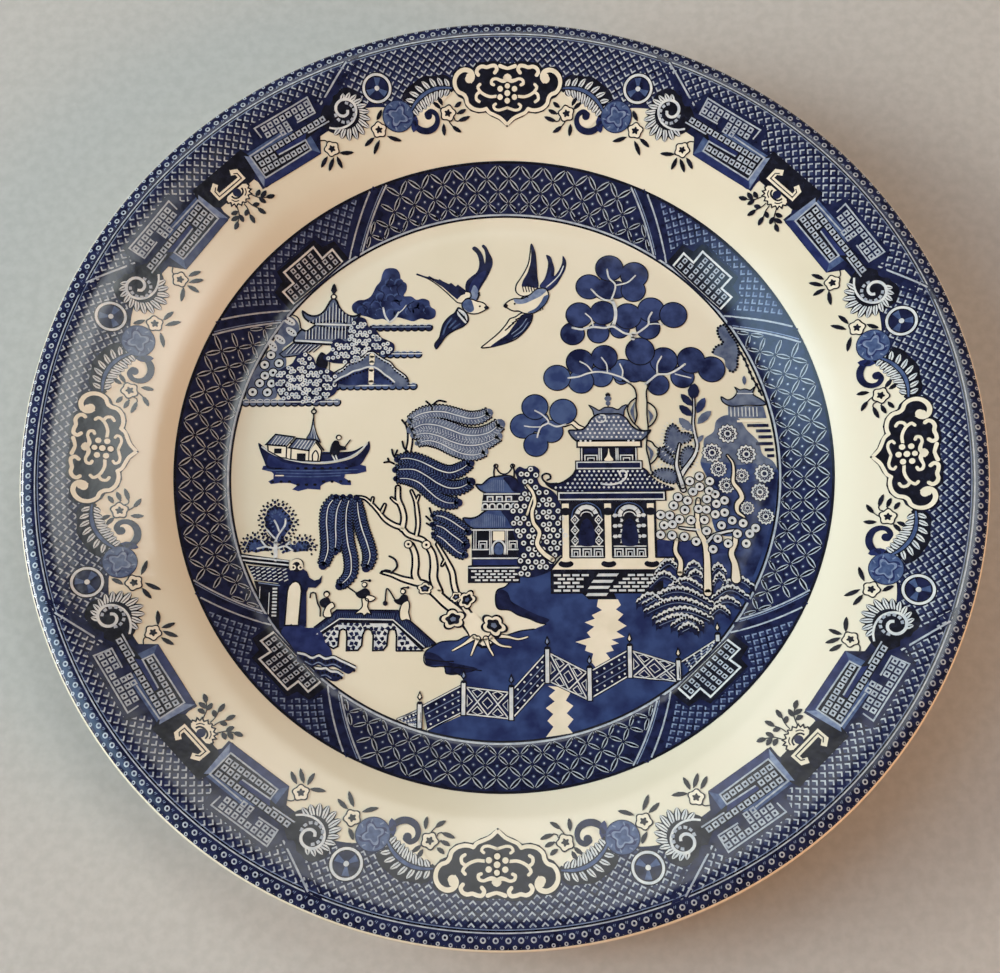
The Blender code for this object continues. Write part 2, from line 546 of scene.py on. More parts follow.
def edge_band():
    """The dark band of rings and ticks at the edge."""
    band = Print("edge_band")
    band.add(sweep(126.1, 130.75, 0, 360, 1, 9), "navy", 0)
    count = RIM_REPEATS
    step = 360 / count
    angles = np.arange(count) * step
    gap = fill([(-0.42, 0.25), (0.05, -0.45), (0.35, 0.25)])
    band.add(rim(copies(gap, angles, np.full(count, 130.4))), "cream", 1)
    band.add(rim(copies(ring(0, 0, 0.52, 0.24, 10), angles + step / 2, np.full(count, 129.75))), "pale", 2)
    band.add(rim(copies(ring(0, 0, 0.76, 0.38, 14), angles, np.full(count, 128.1))), "pale", 1)
    tick = join(stroke([(-0.15, -0.75), (0.15, -0.1)], 0.2), stroke([(0.3, -0.75), (0.5, -0.3)], 0.18))
    band.add(rim(copies(tick, angles + step / 2, np.full(count, 127.9))), "wash", 1)
    band.add(sweep(126.15, 126.5, 0, 360, 1, 1), "pale", 2)
    band.add(sweep(125.75, 126.15, 0, 360, 1, 1), "black", 1)
    band.add(sweep(125.45, 125.68, 0, 360, 1, 1), "wash", 2)
    band.finish("rim_ink", "rim_border_print")


def chevrons(pitch, gap, width):
    """A light angle on its point, and the mid-blue square that sits in it."""
    arm = pitch
    angle = np.array([(0, 0), (arm, 0), (arm, width), (width, width), (width, arm), (0, arm)])
    light = (angle, np.array([(0, 1, 2), (0, 2, 3), (0, 3, 4), (0, 4, 5)]))
    low = width + gap
    square = np.array([(low, low), (arm, low), (arm, arm), (low, arm)])
    return moved(light, 0, 0, 1, 45), moved((square, np.array([(0, 1, 2), (0, 2, 3)])), 0, 0, 1, 45)


def rim_diaper():
    """The cross-hatched ground of the rim, a light chevron in every diamond."""
    ground = Print("rim_diaper")
    ground.add(sweep(lambda a: rim_ground_edge(a + RIM_TURN), 125.9, 0, 360, 0.35, 18), "navy", 0)
    first_row, row_pitch = 124.0, 1.36
    angles, radii = [], []
    for row in range(14):
        for column in range(RIM_REPEATS):
            angles.append((column + 0.5 * (row % 2)) * 360 / RIM_REPEATS)
            radii.append(first_row - row * row_pitch)
    angles, radii = np.array(angles), np.array(radii)
    kept = (radii > rim_ground_edge(angles) + 0.35) & (radii > 106)
    angles, radii = angles[kept], radii[kept]
    folded = (angles + 45) % 90 - 45
    bar = 20.4 + (first_row - radii) * 0.62
    beside = np.abs(folded) < bar
    light, square = chevrons(1.34, 0.14, 0.4)
    for some, turn, out, on in ((beside, 0, 0, 0), (~beside, -90, 1.1, -0.5)):
        for shape, ink in ((light, "pale"), (square, "shade")):
            ground.add(rim(copies(shape, angles[some] + on, radii[some] + out, turn)), ink, 1)
    ground.finish("rim_ink", "rim_border_print")


def medallions():
    """The four cloud-shaped cartouches, each with a seven-dot flower."""
    piece = Print("rim_medallions")
    half = [
        (0, 100.3), (1.3, 101.4), (2.4, 102.3), (4.6, 103.2), (6.3, 104.3), (8.4, 104), (10.6, 104.6),
        (12.2, 106), (12.9, 107.9), (14.3, 108.5), (15.8, 110.2), (16.4, 112.6), (15.9, 115.2),
        (14.2, 116.9), (11.8, 117.1), (10.2, 116.6), (9, 118.2), (6.5, 118.4), (4, 118.7), (2, 118.2),
        (0, 118),
    ]
    outline = half + [(-x, y) for x, y in half[-2:0:-1]]
    ground = fill(straight(outline, True, 1.2), spacing=3.5)
    piece.add(rim(quarters(ground)), "black", 3)
    scroll = curve([
        (11.3, 114.4), (10.6, 113.3), (10.2, 114.3), (10.7, 115.5), (12.2, 116.1), (14.1, 115.4),
        (15.3, 113.6), (15.3, 111.6), (14.3, 109.9), (12.6, 109.1), (12, 108.2), (11.7, 106.9),
        (10.6, 105.7), (8.6, 105), (6.9, 105.1), (6.1, 105.4),
    ], [1.5, 1.1, 1.0], round_ends=True)
    lower = curve([(6.1, 105.4), (5.3, 104.4), (3.8, 103.7), (1.9, 102.8), (0.5, 101.5), (0, 101)], 0.95)
    bracket = curve([
        (3.7, 115.4), (3.1, 116.3), (3.6, 117.3), (4.8, 117.3), (6, 116.9), (7.5, 117.1), (8.7, 116.4),
        (9, 115.4), (8.5, 114.7),
    ], 1.05, round_ends=True)
    crown = curve([(0, 116.6), (1.1, 116.9), (2.2, 117.3)], [0.9, 1.1], round_ends=True)
    trefoil = curve(
        [(0.2, 113.6), (1.2, 113.1), (2.2, 113.3), (3.3, 113.7), (4.5, 113.3), (4.6, 112.3), (4, 112)],
        [1.3, 0.8, 0.9], round_ends=True,
    )
    side = curve(
        [(8, 112.1), (8.6, 111.4), (8, 110.2), (6.6, 109.2), (5, 108.7), (3.3, 108.8)], 0.85,
        round_ends=True,
    )
    branch = curve([(7.9, 110), (8.9, 109.3), (9, 107.9), (8.2, 107.3)], 0.85, round_ends=True)
    foot = curve(
        [(0, 105.7), (1.2, 105.3), (2.5, 105), (3.7, 105.4), (4, 106.2), (3.4, 106.7)], 0.75,
        round_ends=True,
    )
    ball = disc(11.2, 113.5, 1.15)
    tip = leaf((0, 112.9), (0, 115.2), 2.6)
    scrolls = join(scroll, lower, bracket, crown, trefoil, side, branch, foot, ball, tip)
    piece.add(rim(eighths(scrolls)), "cream", 4)
    dots = join(disc(0, 109.7, 0.85), disc(0, 111.7, 0.75), disc(0, 107.6, 0.8))
    beside = join(disc(2.1, 110.9, 0.8), disc(2.1, 108.6, 0.8))
    halo = join(
        disc(0, 109.7, 1.15), disc(0, 111.7, 1.1), disc(0, 107.6, 1.1), disc(2.1, 110.9, 1.1),
        disc(2.1, 108.6, 1.1),
    )
    piece.add(rim(eighths(halo)), "black", 5)
    piece.add(rim(quarters(join(dots, beside, mirrored(beside)))), "cream", 6)
    piece.finish("rim_ink", "rim_border_print")


def flower(piece, place, size=1.0, turn=0.0, layer=5):
    """A five-petalled flower: a dark outline, cream petals and a dark star."""
    shapes = (
        (fill(lobed(2.35, 5, 0.1), spacing=2), "black"), (fill(lobed(1.95, 5, 0.11), spacing=2), "cream"),
        (fill(lobed(0.95, 5, 0.22)), "black"),
    )
    for step, (shape, ink) in enumerate(shapes):
        piece.add(rim(eighths(moved(shape, *place, size, turn))), ink, layer + step)


def half_flowers(piece):
    """The half flower under each diagonal key."""
    whole = smooth([
        (-2.9, 110.2), (-3.9, 109.3), (-3.5, 108.3), (-3.7, 107.2), (-2.8, 106.8), (-2.3, 106),
        (-1.1, 106.1), (0, 105.3), (1.1, 106.1), (2.3, 106), (2.8, 106.8), (3.7, 107.2), (3.5, 108.3),
        (3.9, 109.3), (2.9, 110.2),
    ])
    piece.add(rim(at_diagonals(fill(whole, spacing=2.5))), "cream", 4)
    halves = [
        (0.4, [
            (-3.8, 109.5), (-4.1, 108.8), (-3.3, 108.4), (-3.8, 107.6), (-2.8, 107.5), (-3, 106.6),
            (-1.9, 106.9), (-1.5, 106), (-0.7, 106.5), (0, 105.7),
        ]),
        (0.5, [(-1.9, 109.6), (-1.7, 108.8), (-0.9, 108.2), (0, 108.1)]),
        (0.3, [(-2.6, 108.9), (-2.1, 107.9), (-1.1, 107.4)]),
        (0.3, [(-2.7, 106.6), (-3.8, 104.6), (-5.6, 103.2)]),
        (0.3, [(-0.6, 106), (-0.8, 104.4), (-1.6, 102.4)]),
    ]
    for width, line in halves:
        shape = curve(line, width)
        piece.add(rim(at_diagonals(join(shape, mirrored(shape)))), "black", 5)
    piece.add(rim(at_diagonals(disc(0, 109.4, 1.2, 20))), "navy", 5)
    under = [
        ((-3.4, 105.4), (-5.6, 106)), ((-4.2, 104.3), (-6.8, 104.7)), ((-5.4, 103.4), (-7.8, 102.2)),
        ((-3.8, 104.6), (-4.4, 102.2)), ((-1, 104.2), (-2.8, 103.2)), ((-1.5, 102.8), (-2.2, 100)),
    ]
    for start, end in under:
        shape = leaf(start, end, 1.35, 0.1)
        piece.add(rim(at_diagonals(join(shape, mirrored(shape)))), "black", 5)


def rim_flowers():
    """The small flowers with their leaves, and the half flowers."""
    piece = Print("rim_flowers")
    flower(piece, (17.3, 103.9), 0.97, 10)
    flower(piece, (37.3, 98.4), 0.95, -10)
    flower(piece, (50.8, 92.2), 0.92, -30)
    leaves = [
        ((15.4, 105.6), (13.4, 107.2)), ((14.6, 103.9), (12, 105.1)), ((14.4, 101.8), (10.8, 103.2)),
        ((16.1, 100.5), (13.3, 98.7)), ((18.5, 101), (18.2, 97.6)), ((18.9, 106), (20.4, 108.4)),
        ((19.4, 105), (21.8, 106.9)), ((38, 101), (36.6, 104.1)), ((34.9, 96.8), (30.7, 95.7)),
        ((37.1, 95.6), (38.7, 91.4)), ((38.6, 96.2), (41.4, 93.5)), ((48.7, 91.2), (44.5, 91.7)),
        ((49.3, 90.2), (47.7, 86.9)), ((50.2, 89.8), (51.5, 85.8)), ((52, 90), (53.8, 86.6)),
    ]
    for start, end in leaves:
        piece.add(rim(eighths(leaf(start, end, 1.25, 0.1))), "black", 4)
    stems = [
        [(15.2, 104.2), (14.2, 103.7)], [(15.5, 102.8), (15.2, 102), (14.2, 101.7)],
        [(17, 101.7), (16.4, 100.9), (15.8, 100.3)], [(54.3, 94.2), (52.6, 94.3), (51.8, 93.4)],
    ]
    for stem in stems:
        piece.add(rim(eighths(curve(stem, 0.3))), "black", 4)
    half_flowers(piece)
    piece.finish("rim_ink", "rim_border_print")


def feathers(piece, line, count, reach, lean, layer):
    """Pointed leaves in a row along one side of a line, each light with a dark edge and midrib."""
    run = np.concatenate([[0], np.cumsum(np.linalg.norm(np.diff(line, axis=0), axis=1))])
    places, normal = even(line, run[-1] / count)
    onward = np.gradient(places, axis=0)
    onward /= np.linalg.norm(onward, axis=1)[:, None]
    reaches = np.interp(np.linspace(0, 1, len(places)), np.linspace(0, 1, len(reach)), reach)
    tips = places + normal * reaches[:, None] + onward * lean
    for place, tip in zip(places, tips):
        for width, ink, step in ((2.1, "black", 0), (1.3, "light", 1), (0.25, "black", 2)):
            piece.add(rim(eighths(leaf(tuple(place), tuple(tip), width, 0.12))), ink, layer + step)


BALL = (31.8, 102.5)
WHEEL = (38, 110)


def rim_balls(piece):
    """The mottled balls."""
    piece.add(rim(eighths(disc(*BALL, 4.55, 36))), "navy", 4)
    piece.add(rim(eighths(disc(*BALL, 4.3, 36))), "mid", 5)
    for size, ink in ((2.9, "deep"), (2.3, "wash"), (1.7, "mid")):
        star = moved(fill(lobed(size, 4, 0.28), spacing=1.5), *BALL, 1, 20)
        piece.add(rim(eighths(star)), ink, 6 + (2.9 - size))
    for turn in range(0, 360, 45):
        mark = moved(stroke([(0, 3.1), (0.5, 3.9)], 0.35), *BALL, 1, turn + 12)
        piece.add(rim(eighths(mark)), "wash", 6)


def rim_wheels(piece):
    """The wheels with three fans."""
    piece.add(rim(eighths(disc(*WHEEL, 4.5, 40))), "black", 3)
    piece.add(rim(eighths(ring(*WHEEL, 4.2, 3.5, 40))), "light", 4)
    piece.add(rim(eighths(disc(*WHEEL, 3.2, 30))), "navy", 4)
    for turn in (0, 120, 240):
        fan = fill([(-0.35, 0.8), (0.35, 0.8), (0.95, 3), (-0.95, 3)])
        piece.add(rim(eighths(moved(fan, *WHEEL, 1, turn))), "mid", 5)
    piece.add(rim(eighths(disc(*WHEEL, 0.7))), "light", 6)


def rim_spirals(piece):
    """The spirals with their leafy edge."""
    halo = soft_slab([
        (42, 105.6), (43.6, 108.6), (47.4, 109.6), (50.2, 107.4), (53.4, 103.6), (54.2, 99.6),
        (50.6, 96.6), (46.8, 96.8), (43.6, 99.4), (42, 102.4),
    ])
    piece.add(rim(eighths(halo)), "black", 2)
    turn = np.radians(np.linspace(62, 292, 40))
    around = np.stack([47.2 + 3.7 * np.cos(turn), 102.2 + 3.7 * np.sin(turn)], 1)
    feathers(piece, around, 13, [-2.2, -2.7, -3.3, -4.2, -4.0, -2.8], 1.5, 3)
    piece.add(rim(eighths(disc(47.2, 102.2, 4.3, 30))), "black", 5)
    spiral = curve([
        (51.6, 98), (49.6, 97.9), (47, 98.6), (44.9, 100.3), (44, 102.7), (44.4, 105), (46.2, 106.3),
        (48.4, 106), (49.7, 104.5), (49.7, 102.9), (48.8, 101.8), (47.4, 101.6), (46.4, 102.4),
        (46.4, 103.4),
    ], [0.55, 0.6, 0.75, 0.8, 0.8])
    piece.add(rim(eighths(spiral)), "light", 6)
    for turn in range(-20, 250, 30):
        cell = moved(
            fill([(-0.42, 2.35), (0.42, 2.35), (0.5, 3.15), (-0.5, 3.15)]), 47.2, 102.6, 1, turn + 30,
        )
        piece.add(rim(eighths(cell)), "pale", 6)


def rim_scrolls():
    """The stems, hooks, balls, wheels and spirals between the medallions and the key panels."""
    piece = Print("rim_scrolls")
    leafy = soft_slab([
        (15.9, 110), (16.2, 113), (18.4, 114.6), (21.4, 114.2), (24.6, 113.9), (27.6, 111.8),
        (30.2, 109.3), (30.6, 107.2), (28.4, 106), (27.9, 104), (27.2, 102.2), (25.2, 102.4), (24, 103.4),
        (22.3, 105.6), (19.5, 107.2), (18.4, 109),
    ])
    piece.add(rim(eighths(leafy)), "black", 2)
    cream = soft_slab([
        (16.4, 109.6), (18.2, 110.6), (20.8, 110.4), (24, 109.6), (26.2, 107.2), (26.9, 104.6),
        (26.3, 102.4), (23.4, 99.9), (21, 101.2), (20.4, 103.4), (19.3, 106), (17.9, 108),
    ])
    piece.add(rim(eighths(cream)), "cream", 3)
    stem = [(16.2, 110.9), (19, 110.9), (22.2, 110.1), (25, 108.3), (27, 106), (28, 104.2)]
    piece.add(rim(eighths(curve(stem, [0.9, 1.5, 1.5, 1.1]))), "black", 5.5)
    piece.add(rim(eighths(curve(stem, [0.4, 0.9, 0.9, 0.5]))), "mid", 6)
    feathers(piece, smooth(stem), 8, [2.6, 3.4, 3.4, 2.4], 1.3, 2.2)
    feathers(piece, smooth(stem), 8, [-2.4, -3.6, -3.8, -2.6], 1, 3.1)
    hook = curve([
        (23.4, 103.4), (22.3, 104.2), (20.9, 103.6), (20.3, 101.9), (20.9, 100.1), (22.6, 98.9),
        (24.6, 98.8), (26.4, 99.8), (27.3, 101.6),
    ], [1.6, 1.3, 1.8, 1.9, 1.2], round_ends=True)
    piece.add(rim(eighths(hook)), "navy", 5)
    piece.add(rim(eighths(disc(23.0, 103, 1.1))), "navy", 5)
    piece.add(rim(eighths(leaf((26.6, 102.8), (27.3, 98.2), 2.1))), "deep", 5)
    rim_balls(piece)
    rim_wheels(piece)
    rim_spirals(piece)
    piece.finish("rim_ink", "rim_border_print")


def tile(size, hole):
    """A light square with a dark one in its middle."""
    a, b = size / 2, hole / 2
    corners = [(-a, -a), (a, -a), (a, a), (-a, a)]
    return fill(corners, [[(-b, -b), (b, -b), (b, b), (-b, b)]])


KEY_ANGLE = 34.0


def at_keys(shape):
    """A shape drawn as if its key panel stood at +Y, on every key panel."""
    return eighths(turned(shape, -KEY_ANGLE))


def diagonal_keys(piece):
    """The key on each diagonal."""
    ground = slab([
        (-9.2, 117.6), (9.2, 117.6), (10.4, 113), (6.6, 109.2), (3.4, 109.4), (2.2, 108), (0, 107.4),
        (-2.2, 108), (-3.4, 109.4), (-6.6, 109.2), (-10.4, 113),
    ])
    piece.add(rim(at_diagonals(ground)), "black", 3)
    key = stroke(
        straight([(-3, 114.9), (-4.7, 113.9), (-4.7, 111.6), (3.9, 111.6), (3.9, 113.8), (2.4, 114.6)]),
        1.55,
    )
    piece.add(rim(at_diagonals(key)), "cream", 5)
    slit = stroke(
        straight([(-3.6, 114.2), (-4.6, 113.4), (-4.6, 111.6), (3.8, 111.6), (3.8, 113.3), (2.9, 113.9)]),
        0.3,
    )
    piece.add(rim(at_diagonals(slit)), "black", 6)


def key_panels():
    """The two interlocking key-fret panels of each eighth, and the bar beside them."""
    piece = Print("rim_key_panels")
    surround = slab([
        (-14.2, 114), (-12.4, 121.6), (8.2, 121.6), (9.2, 116.4), (14.2, 115.6), (14, 104.8), (-6, 105.2),
        (-8.6, 109.6),
    ])
    piece.add(rim(at_keys(surround)), "navy", 2)
    bevel = slab([(-6, 105.4), (-6.2, 111.9), (0.9, 115.9), (13.4, 115.3), (13.3, 105)])
    piece.add(rim(at_keys(bevel)), "mid", 3)
    lower = slab([(-6, 105.4), (-4.4, 107.2), (11.6, 107.2), (13.3, 105)])
    piece.add(rim(at_keys(lower)), "deep", 4)
    glint = slab([(13.3, 105.2), (11.8, 107.4), (12.1, 114.2), (13.4, 115.2)])
    piece.add(rim(at_keys(glint)), "wash", 4)
    inner = slab([(-4, 107.6), (11.4, 107.2), (11.9, 114), (-12.6, 114.2), (-13, 111.9), (-4.2, 110.6)])
    piece.add(rim(at_keys(inner)), "black", 5)
    notch = slab([(-4.2, 110.7), (4.9, 110.9), (4.9, 112), (-5.4, 112.1)])
    piece.add(rim(at_keys(notch)), "deep", 6)
    frames = [
        [(-4.8, 115.9), (-10.8, 115.7), (-11.2, 120.4), (6.7, 120.3), (6.3, 117.2)],
        [(1.2, 115.1), (12.1, 114.4), (11.5, 107.1), (-4.1, 107.6), (-4.2, 110.6), (4.7, 110.8)],
        [(-13, 111.7), (-6, 111.9)],
    ]
    for frame_line in frames:
        piece.add(rim(at_keys(stroke(straight(frame_line), 0.42))), "pale", 7)
    rows = [
        (119.0, [-10.05 + 2.05 * k for k in range(8)]),
        (117.05, [-10.05, -8.0, -5.95, -1.8, 0.25, 2.3, 4.3]), (115.4, [-1.8, 0.25]),
        (113.1, [-11.6 + 2.0 * k for k in range(12)]), (111.0, [6.3, 8.3, 10.2]),
        (109.0, [-3.0 + 1.92 * k for k in range(8)]),
    ]
    for height, places in rows:
        for across in places:
            piece.add(rim(at_keys(moved(tile(1.5, 0.62), across, height))), "pale", 7)
    bar = slab([(43.2, 118.9), (47.6, 117.2), (55.6, 103.4), (52.2, 102.6)])
    piece.add(rim(eighths(bar)), "navy", 2)
    piece.add(rim(eighths(stroke(straight([(46.9, 117), (54.2, 104.4)]), 0.5))), "pale", 3)
    diagonal_keys(piece)
    piece.finish("rim_ink", "rim_border_print")


# ---------------------------------------------------------------- the border on the wall of the well

CAVETTO_TURN = -1.15
CAVETTO_IN, CAVETTO_OUT = 77.9, 91.3


def wall(shape):
    """A shape of the cavetto border, turned as the real transfer is."""
    return turned(shape, CAVETTO_TURN)


def bar_angle(radius):
    """Where the slanted bars start, by radius."""
    return 23.4 + (90.9 - radius) * 0.78


def cavetto_rings():
    """The dark ground of the cavetto border and its edge lines."""
    piece = Print("cavetto_rings")
    piece.add(sweep(CAVETTO_IN, CAVETTO_OUT, 0, 360, 1, 12), "navy", 0)
    piece.add(sweep(90.75, 91.45, 0, 360, 1, 1), "black", 1)
    piece.add(sweep(77.35, 77.9, 0, 360, 1, 1), "pale", 1)
    piece.add(sweep(76.75, 77.35, 0, 360, 1, 1), "black", 1)
    piece.finish("cavetto_ink", "cavetto_border_print")


def cavetto_lattice():
    """Petals in interlaced circles, centred above, below and on both sides of the scene."""
    piece = Print("cavetto_lattice")
    share = np.linspace(-0.92, 0.92, 7)
    arc = np.stack([share * 2.15, 0.1 + 0.42 * (1 - share**2)], 1)
    petal = join(stroke(arc, [0.14, 0.35, 0.14]), stroke(arc * (1, -1), [0.14, 0.35, 0.14]))
    shadow = stroke([(-2.2, 0), (0, 0), (2.2, 0)], [0.5, 1.7, 0.5])
    step = 2.14
    radii_of_rows = (88.7, 85.4, 82.2, 79.4)
    up, down, dots = [], [], []
    for row, radius in enumerate(radii_of_rows):
        for column in range(-16, 16):
            angle = (column + 0.5) * step
            if abs(angle) > bar_angle(radius) - 1.2:
                continue
            (up if (row + column) % 2 else down).append((angle, radius))
            if (row + column) % 2 == 0 and row < 3:
                dots.append(((column + 1) * step, radius - 1.6))
    for quarter in range(4):
        for places, turn in ((up, -45), (down, 45)):
            angles, radii = np.array(places).T
            size = 0.82 + 0.18 * (radii - 79.4) / 9.3
            for layer, ink, shape in ((1, "black", shadow), (2, "pale", petal)):
                for radius in radii_of_rows:
                    row = radii == radius
                    scaled = moved(shape, 0, 0, size[row][0])
                    piece.add(wall(copies(scaled, angles[row] + 90 * quarter, radii[row], turn)), ink, layer)
        angles, radii = np.array(dots).T
        piece.add(wall(copies(disc(0, 0, 0.62, 8), angles + 90 * quarter, radii)), "shade", 1)
        piece.add(wall(copies(disc(0, 0, 0.26, 8), angles + 90 * quarter, radii)), "pale", 2)
    piece.finish("cavetto_ink", "cavetto_border_print")


def cavetto_scales():
    """The small angles on either side of the stepped tiles, and the slanted bars."""
    piece = Print("cavetto_scales")
    light, square = chevrons(1.3, 0.14, 0.4)
    first_row, row_pitch = 89.2, 1.27
    angles, radii = [], []
    for row in range(10):
        for column in range(CAVETTO_REPEATS):
            angle = (column + 0.5 * (row % 2)) * 360 / CAVETTO_REPEATS
            radius = first_row - row * row_pitch
            folded = abs((angle + 45) % 90 - 45)
            if folded > bar_angle(radius) + 4.1:
                angles.append(angle)
                radii.append(radius)
    piece.add(wall(copies(light, angles, radii)), "wash", 1)
    piece.add(wall(copies(square, angles, radii)), "shade", 1)
    bars = ((1.6, 2.6, "navy", 2), (-0.3, 0.45, "pale", 3), (0.35, 0.25, "wash", 3), (3.0, 0.45, "pale", 3))
    for offset, width, ink, layer in bars:
        line = [(math.radians(bar_angle(r) + offset), r) for r in np.linspace(78.0, 90.8, 9)]
        points = [(r * math.sin(a), r * math.cos(a)) for a, r in line]
        piece.add(wall(eighths(stroke(points, width))), ink, layer)
    piece.finish("cavetto_ink", "cavetto_border_print")


def cavetto_tiles():
    """The stepped block of tiles on each diagonal."""
    piece = Print("cavetto_tiles")

    def block(ink, layer, *points, spacing=1.5):
        outline = straight(points + tuple((-x, y) for x, y in points[::-1]), True, 1.5)
        piece.add(wall(at_diagonals(fill(outline, spacing=spacing))), ink, layer)

    block("navy", 2, (13, 77.3), (12.2, 83.6), (9.3, 84.6), (8.4, 87.6))
    block("black", 3, (11.6, 77.6), (11.6, 83.4), (7.8, 84.2), (7.2, 87))
    block("light", 4, (9.8, 77.9), (9.9, 82.4), (5.9, 82.4), (6, 86))
    block("black", 5, (9.2, 78), (9.3, 81.9), (5.3, 81.9), (5.4, 85.5))
    for height, count in ((79.2, 8), (81, 8), (82.8, 4), (84.5, 4)):
        for k in range(count):
            across = (k - (count - 1) / 2) * 2.25
            piece.add(wall(at_diagonals(moved(tile(1.3, 0.6), across, height))), "pale", 6)
    piece.finish("cavetto_ink", "cavetto_border_print")


# ---------------------------------------------------------------- the scene in the well

SCENE_RADIUS = 76.9


def seal(piece):
    """Closes a piece of the scene in the well."""
    piece.finish("centre_ink", "centre_scene_print")


def scatter(shape, places):
    """One shape at each of the places."""
    points, faces = shape
    places = np.asarray(places, float)
    starts = np.arange(len(places))[:, None, None] * len(points)
    return (places[:, None, :] + points).reshape(-1, 2), (faces + starts).reshape(-1, 3)


def spots_within(outline, pitch, inset=0.0, wobble=0.0):
    """Places in staggered rows inside an outline, each a little off its row."""
    outline = np.asarray(outline, float)
    low, high = outline.min(0), outline.max(0)
    places = []
    for row, y in enumerate(np.arange(low[1] + pitch / 2, high[1], pitch * 0.87)):
        for column, x in enumerate(np.arange(low[0] + pitch * (0.5 + 0.5 * (row % 2)), high[0], pitch)):
            phase = 12.9 * row + 78.2 * column
            places.append((x + wobble * math.sin(phase), y + wobble * math.cos(1.7 * phase)))
    places = np.array(places)
    kept = inside(places, outline)
    for turn in np.arange(8) * math.tau / 8:
        kept &= inside(places + (inset * math.cos(turn), inset * math.sin(turn)), outline)
    return places[kept]


def even(line, pitch):
    """Places at an even pitch along a line, and the line's left-hand normal there."""
    run = np.concatenate([[0], np.cumsum(np.linalg.norm(np.diff(line, axis=0), axis=1))])
    at = np.arange(pitch / 2, run[-1], pitch)
    places = np.stack([np.interp(at, run, line[:, 0]), np.interp(at, run, line[:, 1])], 1)
    normal = normals_along(line, False)
    return places, np.stack([np.interp(at, run, normal[:, 0]), np.interp(at, run, normal[:, 1])], 1)


def outlined(piece, points, ink, layer, line=0.42, curved=True):
    """A filled shape with a dark edge."""
    edge = smooth(points, True) if curved else straight(points, True)
    piece.add(fill(edge), ink, layer)
    piece.add(stroke(edge, line, closed=True), "black", layer + 1)


def plain(piece, points, ink, layer, curved=True):
    """A filled shape."""
    piece.add(fill(smooth(points, True) if curved else straight(points, True)), ink, layer)


def lines(piece, ink, layer, width, *paths, curved=True):
    """Strokes of one width with round ends."""
    for path in paths:
        line = smooth(path) if curved else straight(path)
        piece.add(stroke(line, width, round_ends=True), ink, layer)


def box(x0, y0, x1, y1):
    """An upright rectangle."""
    return fill([(x0, y0), (x1, y0), (x1, y1), (x0, y1)])


def limb(piece, points, widths, layer, ink="cream"):
    """A branch: a light stroke with a dark edge."""
    line = smooth(points)
    piece.add(stroke(line, np.atleast_1d(widths) + 0.85, round_ends=True), "black", layer)
    piece.add(stroke(line, widths, round_ends=True), ink, layer + 1)


def arc_points(start, end, radius=SCENE_RADIUS, step=3.0):
    """Points along a circle round the plate's centre."""
    angle = np.radians(np.linspace(start, end, max(2, math.ceil(abs(end - start) / step))))
    return [(radius * math.sin(a), radius * math.cos(a)) for a in angle]


def scalloped_bar(piece, start, end, y, ink, light, half=1.05):
    """The cloud-edged strip of ground that each island stands on."""
    places = [(x, y) for x in np.arange(start + half, end, 2.0)]
    piece.add(scatter(disc(0, 0, half + 0.25, 16, 0.95), places), "black", 1)
    piece.add(scatter(disc(0, 0.05, half - 0.15, 16, 0.9), places), ink, 2)
    piece.add(stroke(np.array([(start + 0.6, y + 0.25), (end - 0.6, y + 0.25)]), 0.32), light, 3)
    piece.add(scatter(curve([(-0.9, 0.75), (0, 1.1), (0.9, 0.75)], 0.25), places), "light", 3)


